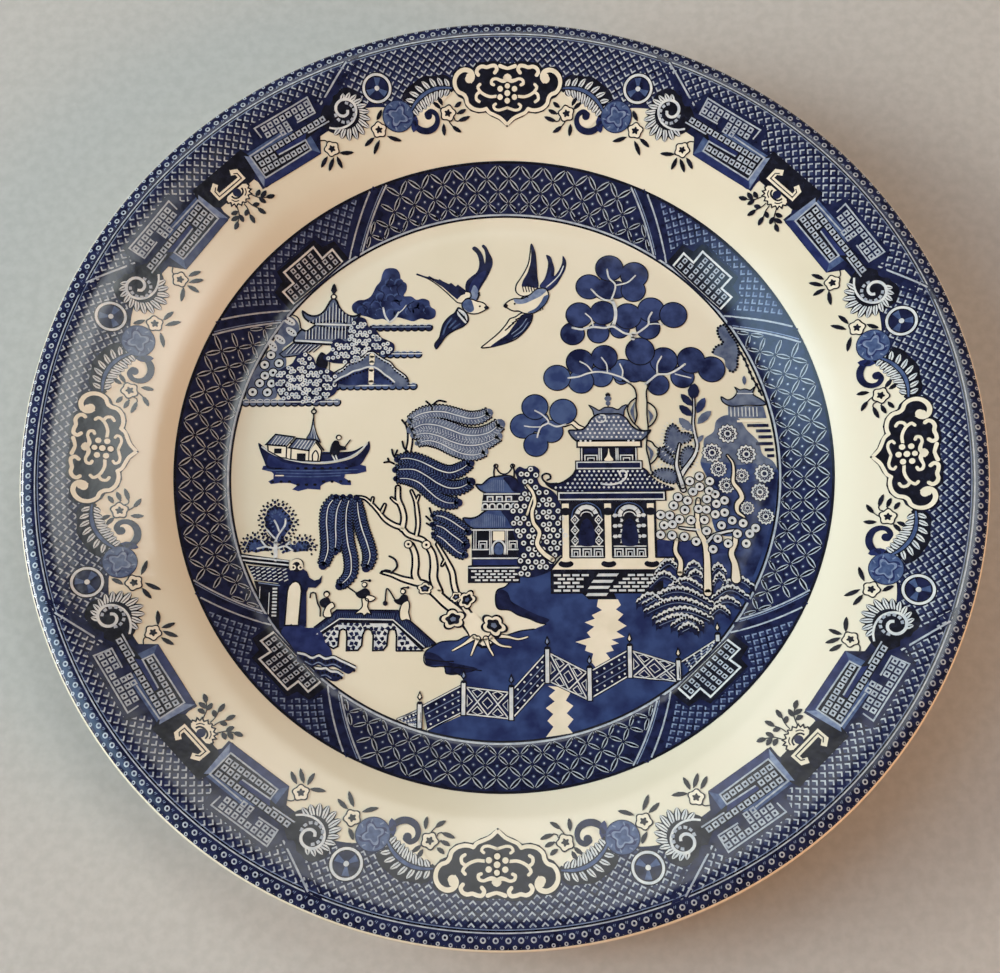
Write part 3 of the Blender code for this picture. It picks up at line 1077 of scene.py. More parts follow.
def left_bird(piece):
    """The bird on the left, its wings up and back."""
    plain(piece, [
        (-5.9, 68.3), (-4.9, 67.4), (-4.1, 65.6), (-3.3, 64), (-3.1, 62), (-3.8, 59.8), (-4.8, 57.6),
        (-6.2, 55.2), (-7.2, 53.2), (-7.6, 51.2), (-8, 50), (-10.6, 50.4), (-10.6, 52.4), (-11.1, 54.6),
        (-10.6, 56.8), (-9.2, 58.2), (-7.8, 59.4), (-7.1, 61.2), (-7.1, 63.2), (-7.7, 65.2), (-9.1, 67.3),
        (-8.6, 67.7), (-7, 66.6), (-6, 64.8), (-5.4, 62.2), (-5.2, 64.6), (-5.6, 66.6), (-6.3, 68),
    ], "navy", 1)
    plain(
        piece,
        [(-5, 60), (-5.4, 58), (-7, 55), (-8, 52), (-9.6, 52.4), (-9.8, 55), (-8.4, 57.6), (-6.2, 59.6)],
        "deep", 2,
    )
    plain(piece, [(-7.6, 54.4), (-8.1, 50.6), (-9.5, 50.6), (-9.3, 53.6), (-8.4, 55.4)], "wash", 3)
    lines(piece, "black", 3, 0.5, [(-7.6, 50.8), (-7.2, 51.8), (-7, 53)], [(-7.2, 52.8), (-6.9, 52.2)])
    outlined(piece, [
        (-12, 49.4), (-11.4, 47.6), (-9.8, 46.5), (-7.8, 46.4), (-6, 47.1), (-4.9, 48), (-5, 49),
        (-6, 49.9), (-7.6, 50.3), (-9, 50.9), (-10.6, 51),
    ], "cream", 3, 0.4)
    plain(piece, [
        (-11.9, 49.4), (-11.2, 47.8), (-9.6, 46.8), (-8.6, 47.4), (-8.8, 49.4), (-9.4, 50.8),
        (-10.8, 50.8),
    ], "mid", 4)
    piece.add(leaf((-5.6, 48.4), (-4.1, 48.1), 1.3), "black", 5)
    piece.add(disc(-6.8, 48.7, 0.3, 10), "black", 5)
    outlined(piece, [
        (-9.6, 53), (-9.4, 51.6), (-11, 51), (-11.6, 49.9), (-13.2, 49.9), (-14.4, 51), (-16.4, 53),
        (-19, 55.4), (-22, 57.5), (-25.4, 58.9), (-22.4, 58), (-18, 56.6), (-14, 54.6), (-11.4, 53.4),
    ], "cream", 2, 0.36)
    plain(piece, [
        (-10.9, 53.7), (-13.2, 55.6), (-13.9, 55), (-15.2, 56.2), (-16.2, 55.6), (-18.6, 57.4),
        (-19.2, 56.9), (-21.6, 58.4), (-22.2, 58), (-25.3, 59.3), (-25.3, 58.8), (-21, 57.2),
        (-17.4, 54.6), (-14.9, 52.2), (-13.4, 50.9), (-12.2, 52.2), (-11.1, 52.6),
    ], "navy", 3, curved=False)
    outlined(piece, [
        (-13, 48.4), (-14, 46.8), (-15.6, 45.6), (-17.4, 43.2), (-18, 41), (-18.4, 39.2), (-19.8, 36.6),
        (-19.4, 35.6), (-18.2, 37), (-16.4, 39.6), (-13.8, 41.4), (-11.4, 42.6), (-10.1, 44.2),
        (-10.3, 46), (-11.8, 47.6),
    ], "navy", 2, 0.35)
    plain(
        piece, [(-13, 47.8), (-13.4, 46.6), (-12.4, 45), (-10.8, 43.4), (-10.5, 45.6), (-11.8, 47.4)],
        "light", 4,
    )
    lines(
        piece, "black", 5, 0.3,
        *[[(-13.2 + 0.6 * k, 47.4 - 0.55 * k), (-12 + 0.5 * k, 45.6 - 0.6 * k)] for k in range(4)]
    )
    lines(
        piece, "mid", 4, 0.5, [(-15, 45), (-16.6, 42.6), (-17.4, 40)], [(-13.8, 44.2), (-15.6, 42.2)],
        [(-12.6, 43.2), (-14.6, 41.8)],
    )


def right_bird(piece):
    """The bird on the right, facing the other."""
    outlined(piece, [
        (8.3, 68.3), (7.9, 65.4), (7.4, 62.3), (6.3, 59.6), (4.9, 57.2), (3.8, 55.3), (3.7, 53.3), (5, 52),
        (7.2, 52), (9.2, 53.2), (10, 54.6), (9.8, 58), (9.6, 62), (9.2, 66),
    ], "cream", 1, 0.38)
    plain(piece, [
        (8.4, 68.4), (8.2, 65), (7.9, 62), (7, 59), (5.6, 56.2), (5.4, 54.9), (7, 54.8), (9.8, 54.4),
        (9.9, 58), (9.6, 62.4), (9.2, 66.6),
    ], "navy", 3)
    lines(piece, "black", 3, 0.28, *[[(5.6 + 0.8 * k, 54.9), (6 + 0.8 * k, 53.2)] for k in range(5)])
    plain(piece, [
        (12.7, 64.9), (13.1, 62.4), (12.8, 59.8), (12, 57.2), (10.6, 54.8), (13, 53.4), (15.4, 55.2),
        (17, 57.8), (18.2, 60.4), (18.4, 62.8), (17.5, 64.5), (17.2, 62.2), (16.4, 60.2), (14.9, 58.2),
        (15, 60.2), (14.5, 62.4), (13.6, 64.5),
    ], "navy", 1)
    plain(piece, [
        (11, 54.8), (12.6, 57.4), (14, 60), (14.1, 58), (15.8, 58.6), (17.6, 61.6), (16.6, 58),
        (14.6, 55.4), (12.8, 53.9),
    ], "deep", 2)
    lines(piece, "light", 3, 0.35, [(17.6, 61.2), (16.6, 58.8), (14.6, 56.4), (12.6, 54.6)])
    outlined(piece, [
        (0.4, 48.8), (1.6, 50.3), (3.2, 51), (5.4, 51), (8, 52.4), (10.2, 54.2), (12.4, 54), (13.2, 52.4),
        (12.6, 50), (11.2, 48.2), (9.6, 46.9), (7.8, 46.3), (5.8, 46.5), (4.6, 47.1), (2.8, 47.2),
        (1.4, 48),
    ], "cream", 3, 0.42)
    plain(piece, [
        (3, 50.8), (5.4, 50.8), (8, 52.2), (10.2, 54), (12.6, 53.6), (11.4, 52.2), (8.6, 50.6),
        (5.6, 49.4), (3.6, 49.6),
    ], "wash", 4)
    plain(
        piece,
        [(13, 52.2), (12.4, 49.9), (10.8, 48), (8.6, 46.6), (7, 46.6), (9.4, 48), (11, 50), (12, 51.8)],
        "mid", 4,
    )
    piece.add(leaf((1.4, 48.9), (0, 48.7), 1.5), "black", 5)
    piece.add(disc(3.3, 49.4, 0.32, 10), "black", 5)
    lines(
        piece, "black", 5, 0.3, [(5.2, 51.2), (6.4, 51.8), (7.2, 51.4)], [(11.3, 48.4), (11.5, 47.6)],
        [(10.7, 48), (10.8, 47.3)],
    )
    outlined(piece, [
        (5, 46.4), (8.4, 46.3), (8.2, 44.2), (7.2, 42.2), (5.6, 40.2), (3.8, 38.6), (1.6, 37.5),
        (-1, 36.7), (-4, 36), (-6.3, 35.9), (-4.8, 37.3), (-2.6, 39.2), (-0.6, 41.2), (1, 43.3), (2, 44.8),
        (3.4, 45.3),
    ], "cream", 1, 0.4)
    plain(piece, [
        (5.4, 46), (8.3, 46), (7.9, 44), (6.8, 41.8), (5.2, 40), (3, 38.4), (0, 37), (-3.6, 36.2),
        (-1, 38.4), (1.2, 40), (2.6, 42), (4, 44),
    ], "navy", 3)
    lines(
        piece, "black", 4, 0.4,
        *[[(0.6 + 1.0 * k, 41.2 + 1.1 * k), (2.0 + 1.0 * k, 42.4 + 0.9 * k)] for k in range(4)]
    )
    lines(piece, "wash", 4, 0.28, [(6.8, 44.8), (5, 42.2), (2.4, 40)], [(7.2, 43.6), (5.6, 41.2), (3, 39.2)])


def birds():
    """The two birds."""
    piece = Print("two_birds")
    left_bird(piece)
    right_bird(piece)
    seal(piece)


def island_ground(piece):
    """The strips of ground under the far island."""
    scalloped_bar(piece, -38.6, -20.4, 42.2, "navy", "wash")
    scalloped_bar(piece, -35.6, -22.6, 33.9, "mid", "light")
    scalloped_bar(piece, -48.8, -24.6, 24.2, "mid", "light")
    scalloped_bar(piece, -74.6, -46.6, 19.4, "slate", "light")


def island_round_tree(piece):
    """The dark round tree on the island's right."""
    plain(piece, [
        (-33.2, 61), (-31.2, 60.6), (-30.2, 59), (-29.9, 57.2), (-28.3, 56), (-28.2, 54), (-29, 52.2),
        (-26.8, 52), (-25.2, 50.9), (-23.4, 51.3), (-21.6, 50.5), (-21.2, 48.8), (-19.7, 47.6),
        (-19.9, 45.4), (-21.8, 44.6), (-24, 45), (-26, 44.2), (-28.4, 44.8), (-31, 45.4), (-33, 44.2),
        (-35, 45), (-37, 44.8), (-39.2, 45.6), (-41.4, 46.2), (-43.7, 47.4), (-44, 49.2), (-42.4, 50.8),
        (-40.2, 51.1), (-38.6, 52.1), (-37.8, 53.6), (-37, 55.4), (-35.9, 56.8), (-35.4, 59),
        (-34.6, 60.6),
    ], "leaf", 1)
    crown = [
        (-32.4, 59.6), (-29.4, 55), (-28, 52), (-22, 49.6), (-21, 46), (-42, 46.4), (-42.6, 49),
        (-38.4, 51), (-36, 56),
    ]
    tufts = spots_within(np.array(crown), 2.7, 0, 0.5)
    piece.add(scatter(disc(0, 0, 1.35, 12), tufts), "cloud", 1.4)
    piece.add(scatter(disc(0.25, -0.3, 1.2, 12), tufts), "leaf", 1.7)
    lines(
        piece, "navy", 2, 0.35, [(-29.6, 56), (-31, 54.6), (-30.4, 52.4)],
        [(-36.4, 54), (-34.8, 53), (-35.4, 50.4)], [(-26, 50.4), (-27.8, 49), (-27, 47.2)],
        [(-41.6, 49.8), (-39.6, 48.4), (-40.4, 46.8)], [(-33, 58), (-34, 55.6)],
        [(-23.4, 49.4), (-22.6, 47.6), (-24.4, 46.2)], [(-37.6, 51), (-38.8, 49.4)],
        [(-31.6, 50.6), (-30, 49.2)],
    )
    lines(
        piece, "light", 3, 0.55, [(-34.9, 48.4), (-34.3, 46), (-33, 43.8)],
        [(-30.4, 47), (-31.4, 45.2), (-33, 43.8)],
    )
    lines(piece, "light", 3, 0.3, [(-28.2, 49.2), (-29.4, 47.6), (-30.6, 46.6)])


def island_pagoda(piece):
    """The island's two-roofed pagoda."""
    piece.add(leaf((-49.4, 52.6), (-49.4, 56.2), 1.5), "black", 4)
    piece.add(leaf((-49.4, 55), (-49.4, 53.2), 1.9), "black", 4)
    piece.add(disc(-49.4, 52, 0.95), "black", 4)
    piece.add(disc(-49.4, 52, 0.5), "cream", 5)
    roofs = (
        [
            (-49.4, 51.6), (-48.6, 50.8), (-47.8, 49), (-46.6, 47.3), (-44.8, 46.1), (-43, 45.9),
            (-41.6, 46.5), (-42.8, 44.4), (-43.6, 43.2), (-54.9, 43.7), (-56.8, 44.6), (-57.9, 45.8),
            (-58.3, 47.5), (-57, 46.6), (-55.2, 46), (-53.4, 46.4), (-52, 47.6), (-51, 49.4),
            (-50.2, 50.9),
        ],
        [
            (-54.4, 43.2), (-55.6, 42.3), (-57.2, 41.3), (-58.2, 41.8), (-59.4, 40.8), (-60.6, 38.6),
            (-52, 38), (-45, 38), (-45, 43),
        ],
    )
    for roof in roofs:
        outlined(piece, roof, "slate", 2, 0.6)
    for x in np.arange(-57.2, -43.4, 0.95):
        top = np.interp(x, (-58, -54, -51.5, -49.4, -47.5, -44), (43.6, 45.4, 47.6, 50.4, 48, 45.3))
        piece.add(box(x, 43.9, x + 0.22, top), "light", 4)
        piece.add(box(x + 0.3, 43.9, x + 0.6, top), "navy", 4)
        if x < -45.4:
            low = np.interp(x, (-58, -54, -45), (41, 42.6, 42.8))
            piece.add(box(x, 38.8, x + 0.22, low), "light", 4)
            piece.add(box(x + 0.3, 38.8, x + 0.6, low), "navy", 4)
    lines(piece, "light", 5, 0.55, [(-54.3, 43.5), (-44, 43.1)], [(-60, 38.4), (-49.6, 37.7)])
    lines(piece, "black", 4, 0.9, [(-60.2, 38), (-49.6, 37.2)])
    lines(piece, "black", 4, 0.4, [(-61.4, 46.4), (-59.8, 45.7), (-59, 44), (-58.6, 42.2), (-57.4, 41.4)])
    outlined(
        piece, [(-60.6, 37.7), (-64.6, 34.3), (-63.4, 33.3), (-57.4, 34), (-55, 36), (-52, 37.2)], "slate",
        2, 0.4, False,
    )
    for k in range(7):
        lines(
            piece, "light", 4, 0.2,
            [(-60.4 + 1.25 * k, 37.2 - 0.05 * k), (-62.6 + 1.25 * k, 34.4 + 0.1 * k)],
        )
        lines(piece, "navy", 4, 0.3, [(-60 + 1.25 * k, 37.1 - 0.05 * k), (-62.2 + 1.25 * k, 34.2 + 0.1 * k)])
    plain(piece, [(-53.3, 29.6), (-53.4, 33.6), (-52.4, 34.8), (-51.1, 34), (-51.3, 29.4)], "black", 3)
    lines(piece, "black", 3, 0.3, [(-50, 34), (-50, 28.4)])


def island_ring_tree(piece):
    """The trees behind the pagoda, on its left."""
    edge = [
        (-73.6, 21.2), (-73.2, 24), (-72, 28), (-69.8, 32), (-67.4, 35.4), (-65.6, 39.6), (-64.8, 42),
        (-61.4, 45.8), (-59.6, 44), (-59.2, 41), (-61.2, 38), (-63.8, 35.6), (-62.6, 33), (-63, 29.4),
        (-65.2, 28), (-65, 21),
    ]
    plain(piece, edge, "slate", 1)
    for x, y in (
        (-67, 34), (-68.7, 31), (-64.6, 31.5), (-66.2, 28.6), (-68.5, 27.7), (-69.9, 25.4), (-66.5, 25.3),
        (-71.8, 22.7), (-67.6, 22.6),
    ):
        piece.add(ring(x, y, 1.55, 1.2), "black", 2)
        piece.add(disc(x, y, 1.2), "light", 2)
        piece.add(disc(x, y, 0.42), "black", 3)
    for x, y, turn in ((-61.4, 41.2, 40), (-64.6, 38.8, 40), (-66.6, 36.8, 60), (-62, 44.4, 30)):
        piece.add(moved(disc(0, 0, 1.9, 16, 0.55), x, y, 1, -turn), "light", 2)
        piece.add(scatter(disc(0, 0, 0.24, 8), [(x - 0.7, y + 0.4), (x, y), (x + 0.7, y - 0.5)]), "black", 3)


def island_beaded_trees(piece):
    """The two trees drawn as beads."""
    right = [
        (-45.2, 38), (-45, 41.4), (-43.6, 44.6), (-41.6, 45.6), (-40, 45), (-39, 42.6), (-36.8, 41.4),
        (-35.2, 39.2), (-33.2, 38.2), (-31.6, 37.2), (-31.4, 35.2), (-33.6, 33.4), (-36, 34.4),
        (-39.8, 34.4), (-42.6, 31.4), (-46, 31.2), (-49.6, 31.6), (-52, 33), (-49.8, 35.2), (-49.6, 38),
        (-47.6, 39),
    ]
    left = [
        (-60.8, 31.4), (-59.4, 33.8), (-57.4, 34.8), (-54.8, 33.2), (-53.4, 30.4), (-50.4, 29.6),
        (-48.2, 28.2), (-48.2, 22), (-49.6, 21), (-64, 21.2), (-65.4, 24), (-65.4, 28.4), (-63.4, 30),
    ]
    for outline in (right, left):
        loop = smooth(outline, True)
        piece.add(fill(loop), "navy", 4)
        leaves = spots_within(loop, 1.5, 0.5, 0.3)
        piece.add(scatter(disc(0, 0, 0.62, 10), leaves), "light", 5)
        piece.add(scatter(disc(0, 0, 0.24, 6), leaves), "mid", 6)
    lines(
        piece, "light", 6, 0.4, [(-44.6, 39.8), (-42.6, 38), (-43.2, 36), (-41.4, 34.2)],
        [(-39.6, 37), (-39.4, 35), (-41, 33.6)], [(-57.8, 28), (-57.2, 26), (-58.6, 24.4), (-56, 21.6)],
        [(-62, 25.6), (-59.6, 24.2)],
    )


def island_rocks(piece):
    """The rocks with the cave."""
    ridge = [
        (-49.4, 27.9), (-47.4, 29.2), (-46, 30), (-44.8, 31.4), (-42.6, 32.2), (-40.6, 33.2),
        (-39.4, 34.6), (-37.8, 35), (-36, 33.8), (-34.2, 32.6), (-32.4, 31.6), (-31, 29.8), (-29.2, 28.4),
        (-27.8, 27.2), (-27, 25.5),
    ]
    plain(piece, ridge + [(-38, 25), (-48, 25)], "slate", 3)
    lines(piece, "light", 3.5, 0.5, [(x, y - 0.45) for x, y in ridge[1:-1]])
    for drop, ink, pitch in ((0.0, "black", 0), (-0.9, "black", 1.0)):
        line = smooth(ridge) + (0, drop)
        if pitch:
            piece.add(scatter(disc(0, 0, 0.3, 8), even(line, pitch)[0]), ink, 4)
        else:
            piece.add(stroke(line, 0.42), ink, 4)
    inner = [
        (-48.6, 25.6), (-46.6, 27), (-44.8, 27.8), (-43.2, 28.8), (-41, 29.4), (-39.4, 30), (-37.6, 30.2),
        (-35.6, 29.2), (-34, 27.8), (-32.6, 26.8), (-31.2, 25.5),
    ]
    plain(piece, inner + [(-38, 25), (-47, 25)], "leaf", 5)
    lines(piece, "light", 6, 0.5, inner)
    piece.add(scatter(disc(0, 0, 0.3, 8), even(smooth(inner) + (0, -0.95), 1.0)[0]), "black", 6)
    lines(piece, "cream", 6, 1.5, [(-37.8, 33.6), (-37.8, 31.4)], [(-37.9, 29.4), (-37.9, 25.4)])


def island_top_left():
    """The far island: its pagoda, its trees and the clouds of ground under them."""
    piece = Print("far_island")
    island_ground(piece)
    island_round_tree(piece)
    island_pagoda(piece)
    island_ring_tree(piece)
    island_beaded_trees(piece)
    island_rocks(piece)
    seal(piece)


def hull(piece):
    """The ripples and the hull."""
    plain(piece, [
        (-67.8, 0.6), (-68.2, -0.5), (-65.4, -1.2), (-64.8, -1.8), (-64.8, -3.2), (-66.2, -4),
        (-65.4, -4.8), (-62.8, -4.4), (-60, -4.5), (-58, -5.2), (-59.4, -6.4), (-57.6, -6.9), (-55, -6.2),
        (-51.4, -6.5), (-51.4, -5.4), (-50, -4.4), (-48, -3.9), (-45.4, -5.1), (-42.8, -5.2),
        (-42.9, -4.2), (-44.8, -3), (-44.6, -2), (-41.4, -1.9), (-38.6, -1.2), (-38.8, 0.4), (-41, 1),
    ], "deep", 1, False)
    for y, start, end in ((-0.6, -67.4, -41), (-1.5, -64, -43), (-2.4, -63, -46)):
        lines(piece, "mid", 2, 0.3, [(start, y), ((start + end) / 2, y - 0.3), (end, y)])
    piece.add(scatter(
        disc(0, 0, 0.5, 10, 0.8),
        [(x, -4.1 - 0.9 * (x > -60) * (x < -52)) for x in np.arange(-65, -43, 2.4)],
    ), "black", 2)
    lines(piece, "cream", 3, 0.35, [(-64.2, -2.3), (-62, -2.3)])
    plain(piece, [
        (-69.5, 7.4), (-67, 5.5), (-64, 3.6), (-60, 2.1), (-55, 1.2), (-50, 1.1), (-46, 1.7), (-42, 3.1),
        (-39.6, 5.2), (-38, 7.8), (-37.7, 5.8), (-38.8, 3.2), (-40.4, 0.8), (-43, 0.1), (-60, -0.2),
        (-66.8, 0.2), (-67.8, 2.4), (-68.8, 4.8),
    ], "navy", 3)
    plain(piece, [
        (-66.4, 3.6), (-62, 1.6), (-56, 0.7), (-50, 0.6), (-45.6, 1.2), (-44, 0.4), (-52, -0.2), (-62, 0),
        (-66.6, 0.8),
    ], "deep", 4)
    piece.add(scatter(disc(0, 0, 0.55, 10, 0.7), [(x, -0.2) for x in np.arange(-58, -44, 2.3)]), "black", 5)
    lines(piece, "light", 5, 0.42, [
        (-68.4, 6.2), (-66, 4.5), (-62, 2.8), (-57.4, 1.8), (-52, 1.5), (-47, 2), (-42.8, 3.4), (-40, 5.4),
        (-38.6, 7),
    ])
    plain(
        piece, [(-52, 1.8), (-52, 4), (-46.5, 4.4), (-42, 4.9), (-39.8, 6), (-42.4, 3.8), (-47, 2.2)],
        "navy", 4,
    )
    lines(piece, "black", 5, 0.3, [(-51.6, 4), (-46.5, 4.4), (-42, 4.9), (-39.8, 6.1)])


def cabins(piece):
    """The two cabins with their roofs."""
    outlined(piece, [(-66.8, 6.8), (-61.4, 6.3), (-61.4, 2.8), (-63, 3), (-66.6, 5)], "cream", 5, 0.4, False)
    piece.add(box(-64.9, 4.2, -62.8, 5.7), "black", 6)
    outlined(piece, [(-61.3, 7.4), (-60, 7.2), (-60.2, 2.4), (-61.4, 2.8)], "cream", 5, 0.3, False)
    outlined(piece, [(-67.3, 6.9), (-64.7, 9.9), (-59.3, 9.1), (-61.3, 6.5)], "slate", 6, 0.45, False)
    for k in range(6):
        lines(piece, "light", 7, 0.16, [(-65.8 + 0.85 * k, 7 - 0.08 * k), (-64.2 + 0.9 * k, 9.4 - 0.12 * k)])
    outlined(
        piece, [(-60.1, 6), (-55, 5), (-53.2, 7.6), (-51.4, 5), (-51.8, 1.8), (-57, 2), (-60.1, 2.5)],
        "cream", 5, 0.4, False,
    )
    piece.add(box(-58.4, 2.1, -55.9, 4.2), "black", 6)
    lines(piece, "black", 6, 0.35, [(-55, 5), (-55, 2)])
    lines(piece, "black", 6, 0.4, [(-53.9, 1.9), (-53.9, 4), (-53.1, 5), (-52.4, 4), (-52.4, 1.9)])
    outlined(piece, [(-60.8, 5.9), (-58.7, 8.7), (-53, 8.1), (-55.1, 5)], "slate", 6, 0.45, False)
    for k in range(6):
        lines(piece, "light", 8, 0.25, [(-59.4 + 0.95 * k, 6 - 0.14 * k), (-57.8 + 0.9 * k, 8.2 - 0.08 * k)])
    lines(piece, "black", 7, 0.4, [(-53, 8.1), (-50.8, 5.1)])


def mast(piece):
    """The mast and its folded sail."""
    outlined(piece, [
        (-54.05, 14.8), (-53.7, 12.4), (-53, 10), (-51.9, 7.4), (-53, 8.3), (-55.8, 8.6), (-54.9, 10.4),
        (-54.4, 12.6),
    ], "slate", 4, 0.3)
    lines(
        piece, "light", 6, 0.14, [(-54, 12.6), (-54.6, 9)], [(-54, 12.6), (-53.6, 8.6)],
        [(-54, 12.6), (-52.8, 8.4)],
    )
    lines(piece, "black", 6, 0.45, [(-54, 14.4), (-54, 16)])
    piece.add(ring(-54, 16.7, 0.85, 0.45), "black", 6)
    piece.add(leaf((-54, 17.3), (-54, 18.1), 0.6), "black", 6)


def oarsman(piece):
    """The tiny figure at the oar."""
    plain(piece, [
        (-48.6, 7), (-47.8, 8), (-46.8, 7.9), (-46.2, 6.6), (-44.6, 6), (-44.4, 5.3), (-46.2, 4.9),
        (-46.6, 3.6), (-49, 3.8), (-49, 5.6),
    ], "black", 6)
    piece.add(disc(-46.7, 8.9, 0.85), "black", 6)
    piece.add(disc(-46.6, 8.8, 0.5), "cream", 7)
    lines(piece, "black", 6, 0.35, [(-45, 5.8), (-43.4, 8.1)])
    lines(piece, "light", 6, 0.4, [(-48.4, 3.6), (-47.6, 2.2)], [(-47.4, 3.5), (-46.9, 2.2)])


def boat():
    """The boat with its cabins and oarsman."""
    piece = Print("boat")
    hull(piece)
    cabins(piece)
    mast(piece)
    oarsman(piece)
    seal(piece)


def gate_tree(piece):
    """The tree behind the gate."""
    masses = (
        [
            (-66.6, -19), (-67.8, -16.2), (-67.4, -13), (-66, -10.8), (-63.4, -10), (-61, -11.2),
            (-59.2, -13.2), (-58, -15.4), (-58.2, -17.8), (-59.6, -19.4), (-60.4, -22.4), (-65, -22.4),
        ],
        [
            (-72.4, -22.2), (-71.4, -20.2), (-69, -19.4), (-66.6, -20.2), (-64.2, -22), (-64.4, -24.6),
            (-68, -25.4), (-71.6, -25.2), (-72.8, -23.8),
        ],
        [
            (-61.6, -21.6), (-59, -21.4), (-56.4, -20.2), (-53.6, -20.8), (-52.4, -22.8), (-53.6, -24.8),
            (-57.6, -25.4), (-61.6, -24.8),
        ],
    )
    for mass in masses:
        loop = smooth(mass, True)
        places, normal = even(np.vstack([loop, loop[:1]]), 1.3)
        ragged = normal * (0.3 * np.sin(2.6 * np.arange(len(places))))[:, None]
        spread = places + ragged
        piece.add(fill(places - normal * 1.05 + ragged), "leaf", 1)
        piece.add(dashes(spread - normal * 1.9, spread - normal * 1.1, 0.5), "black", 2)
        piece.add(dashes(spread - normal * 3.1, spread - normal * 2.5, 0.4), "mid", 2)
        kept = spread[:, 1] > -24.8
        piece.add(dashes((spread - normal * 0.8)[kept], (spread + normal * 0.1)[kept], 0.7), "navy", 2)
        kept = np.roll(spread, 1, 0)[:, 1] > -24.2
        between = (spread + np.roll(spread, 1, 0)) / 2
        piece.add(dashes((between + normal * 0.25)[kept], (between + normal * 0.95)[kept], 0.5), "black", 2)
    lines(
        piece, "light", 4, 0.5, [(-63.4, -21.6), (-63, -20.2), (-62, -18.4), (-61, -17)],
        [(-63.4, -20.8), (-64.6, -19.6), (-66, -18)], [(-62.6, -18.4), (-63.2, -16.8), (-64, -15.4)],
        [(-61.6, -17.8), (-60.9, -16.4), (-60.9, -15)], [(-63.6, -23.4), (-66, -22.8), (-67.4, -21.2)],
        [(-66, -22.9), (-68.4, -23.4)], [(-62.8, -23.4), (-60.8, -22.8), (-58.6, -24)],
        [(-60.6, -22.8), (-59.4, -21.4)],
    )
    lines(piece, "light", 4, 1.1, [(-63.4, -21.6), (-63.3, -24), (-63.2, -26.6)])


def gate(piece):
    """The wall, the roof and the doorway."""
    plain(piece, [(-73.4, -24.8), (-59.4, -26.8), (-59.4, -29.2), (-71.4, -27.8)], "black", 3, False)
    lines(
        piece, "light", 5, 0.42, [(-72.6, -25.6), (-59.6, -27.1)], [(-72.2, -26.8), (-59.6, -28.2)],
        curved=False,
    )
    plain(piece, [
        (-71, -28.2), (-59.6, -29.2), (-56, -28.9), (-54.4, -30), (-53.6, -31.8), (-52.2, -32.6),
        (-50.9, -32.2), (-50.1, -31.1), (-50.3, -33.2), (-51.8, -34.7), (-53.6, -34.6), (-61.8, -33.4),
        (-68.8, -32.4),
    ], "navy", 4, False)
    for row in range(4):
        for k in range(7):
            x, y = -69.6 + 1.5 * k + 0.2 * row, -28.9 - 1.0 * row - 0.1 * k
            lines(piece, "light", 6, 0.32, [(x - 0.45, y - 0.22), (x + 0.4, y + 0.2)])
    piece.add(disc(-57.2, -28.2, 1.95), "black", 5)
    lines(
        piece, "cream", 6, 0.8,
        [(-58.8, -29.3), (-58.8, -27.8), (-57.6, -26.9), (-56.4, -27.2), (-55.8, -28.4)],
    )
    piece.add(scatter(ring(0, 0, 0.75, 0.36), [(-58.2, -28.9), (-56.2, -28.9)]), "cream", 7)
    plain(
        piece, [(-69, -32.6), (-61.6, -33.6), (-60, -45.6), (-60.6, -48), (-63.4, -44.4), (-66.8, -38.8)],
        "black", 3, False,
    )
    lines(piece, "wash", 5, 0.3, [(-67.6, -33.2), (-61.8, -34)], curved=False)
    for k in range(9):
        piece.add(box(-63.7, -35.1 - 0.95 * k, -62.4, -34.6 - 0.95 * k), "light", 5)
    lines(piece, "light", 5, 0.22, [(-67.2, -34.4), (-67.2, -37.6)], [(-64.6, -36), (-64.6, -42)])
    plain(piece, [(-62.2, -33), (-53.4, -33.4), (-54.3, -36), (-54, -45.6), (-61.4, -46)], "navy", 4, False)
    outlined(piece, [
        (-60, -45.2), (-59.6, -35.6), (-59.2, -34.2), (-58.4, -33.2), (-57.4, -32.8), (-56.5, -33.2),
        (-55.9, -34.2), (-55.7, -35.6), (-56.2, -45.2),
    ], "cream", 5, 0.45, False)


def gate_bank(piece):
    """The bank below the gate."""
    plain(piece, [
        (-60.8, -46.8), (-59.6, -45), (-56.4, -44.9), (-54, -45.8), (-51.2, -46), (-49.4, -47.8),
        (-48.6, -50), (-47, -52), (-46.8, -54), (-48.8, -54), (-50.4, -53.4), (-53.4, -54), (-55.4, -53.6),
        (-58.4, -50.2),
    ], "deep", 5)
    for ridge in ([
        (-56, -52.9), (-54, -53.3), (-52, -54.2), (-50.4, -53.5), (-48.4, -54.4), (-46.4, -54),
        (-44.2, -55), (-42, -56), (-40.2, -56.9),
    ], [(-51, -57), (-49.4, -57.2), (-48.4, -57), (-46.8, -57.9), (-45.2, -58), (-43.6, -59)]):
        below = [(x, y - 2.6) for x, y in ridge[::-1][1:]]
        plain(piece, ridge + below, "navy", 6)
        lines(piece, "light", 7, 0.6, ridge)
        piece.add(scatter(disc(0, 0, 0.36, 8), even(smooth(ridge) + (0.1, -1.05), 1.15)[0]), "black", 8)
        lines(piece, "wash", 7, 0.3, [(x, y - 1.9) for x, y in ridge[1:-2]])
        lines(piece, "black", 8, 0.3, [(x, y + 0.45) for x, y in ridge])


def gatehouse():
    """The gatehouse at the left, with its tree and bank."""
    piece = Print("gatehouse_and_tree")
    gate_tree(piece)
    gate(piece)
    gate_bank(piece)
    seal(piece)


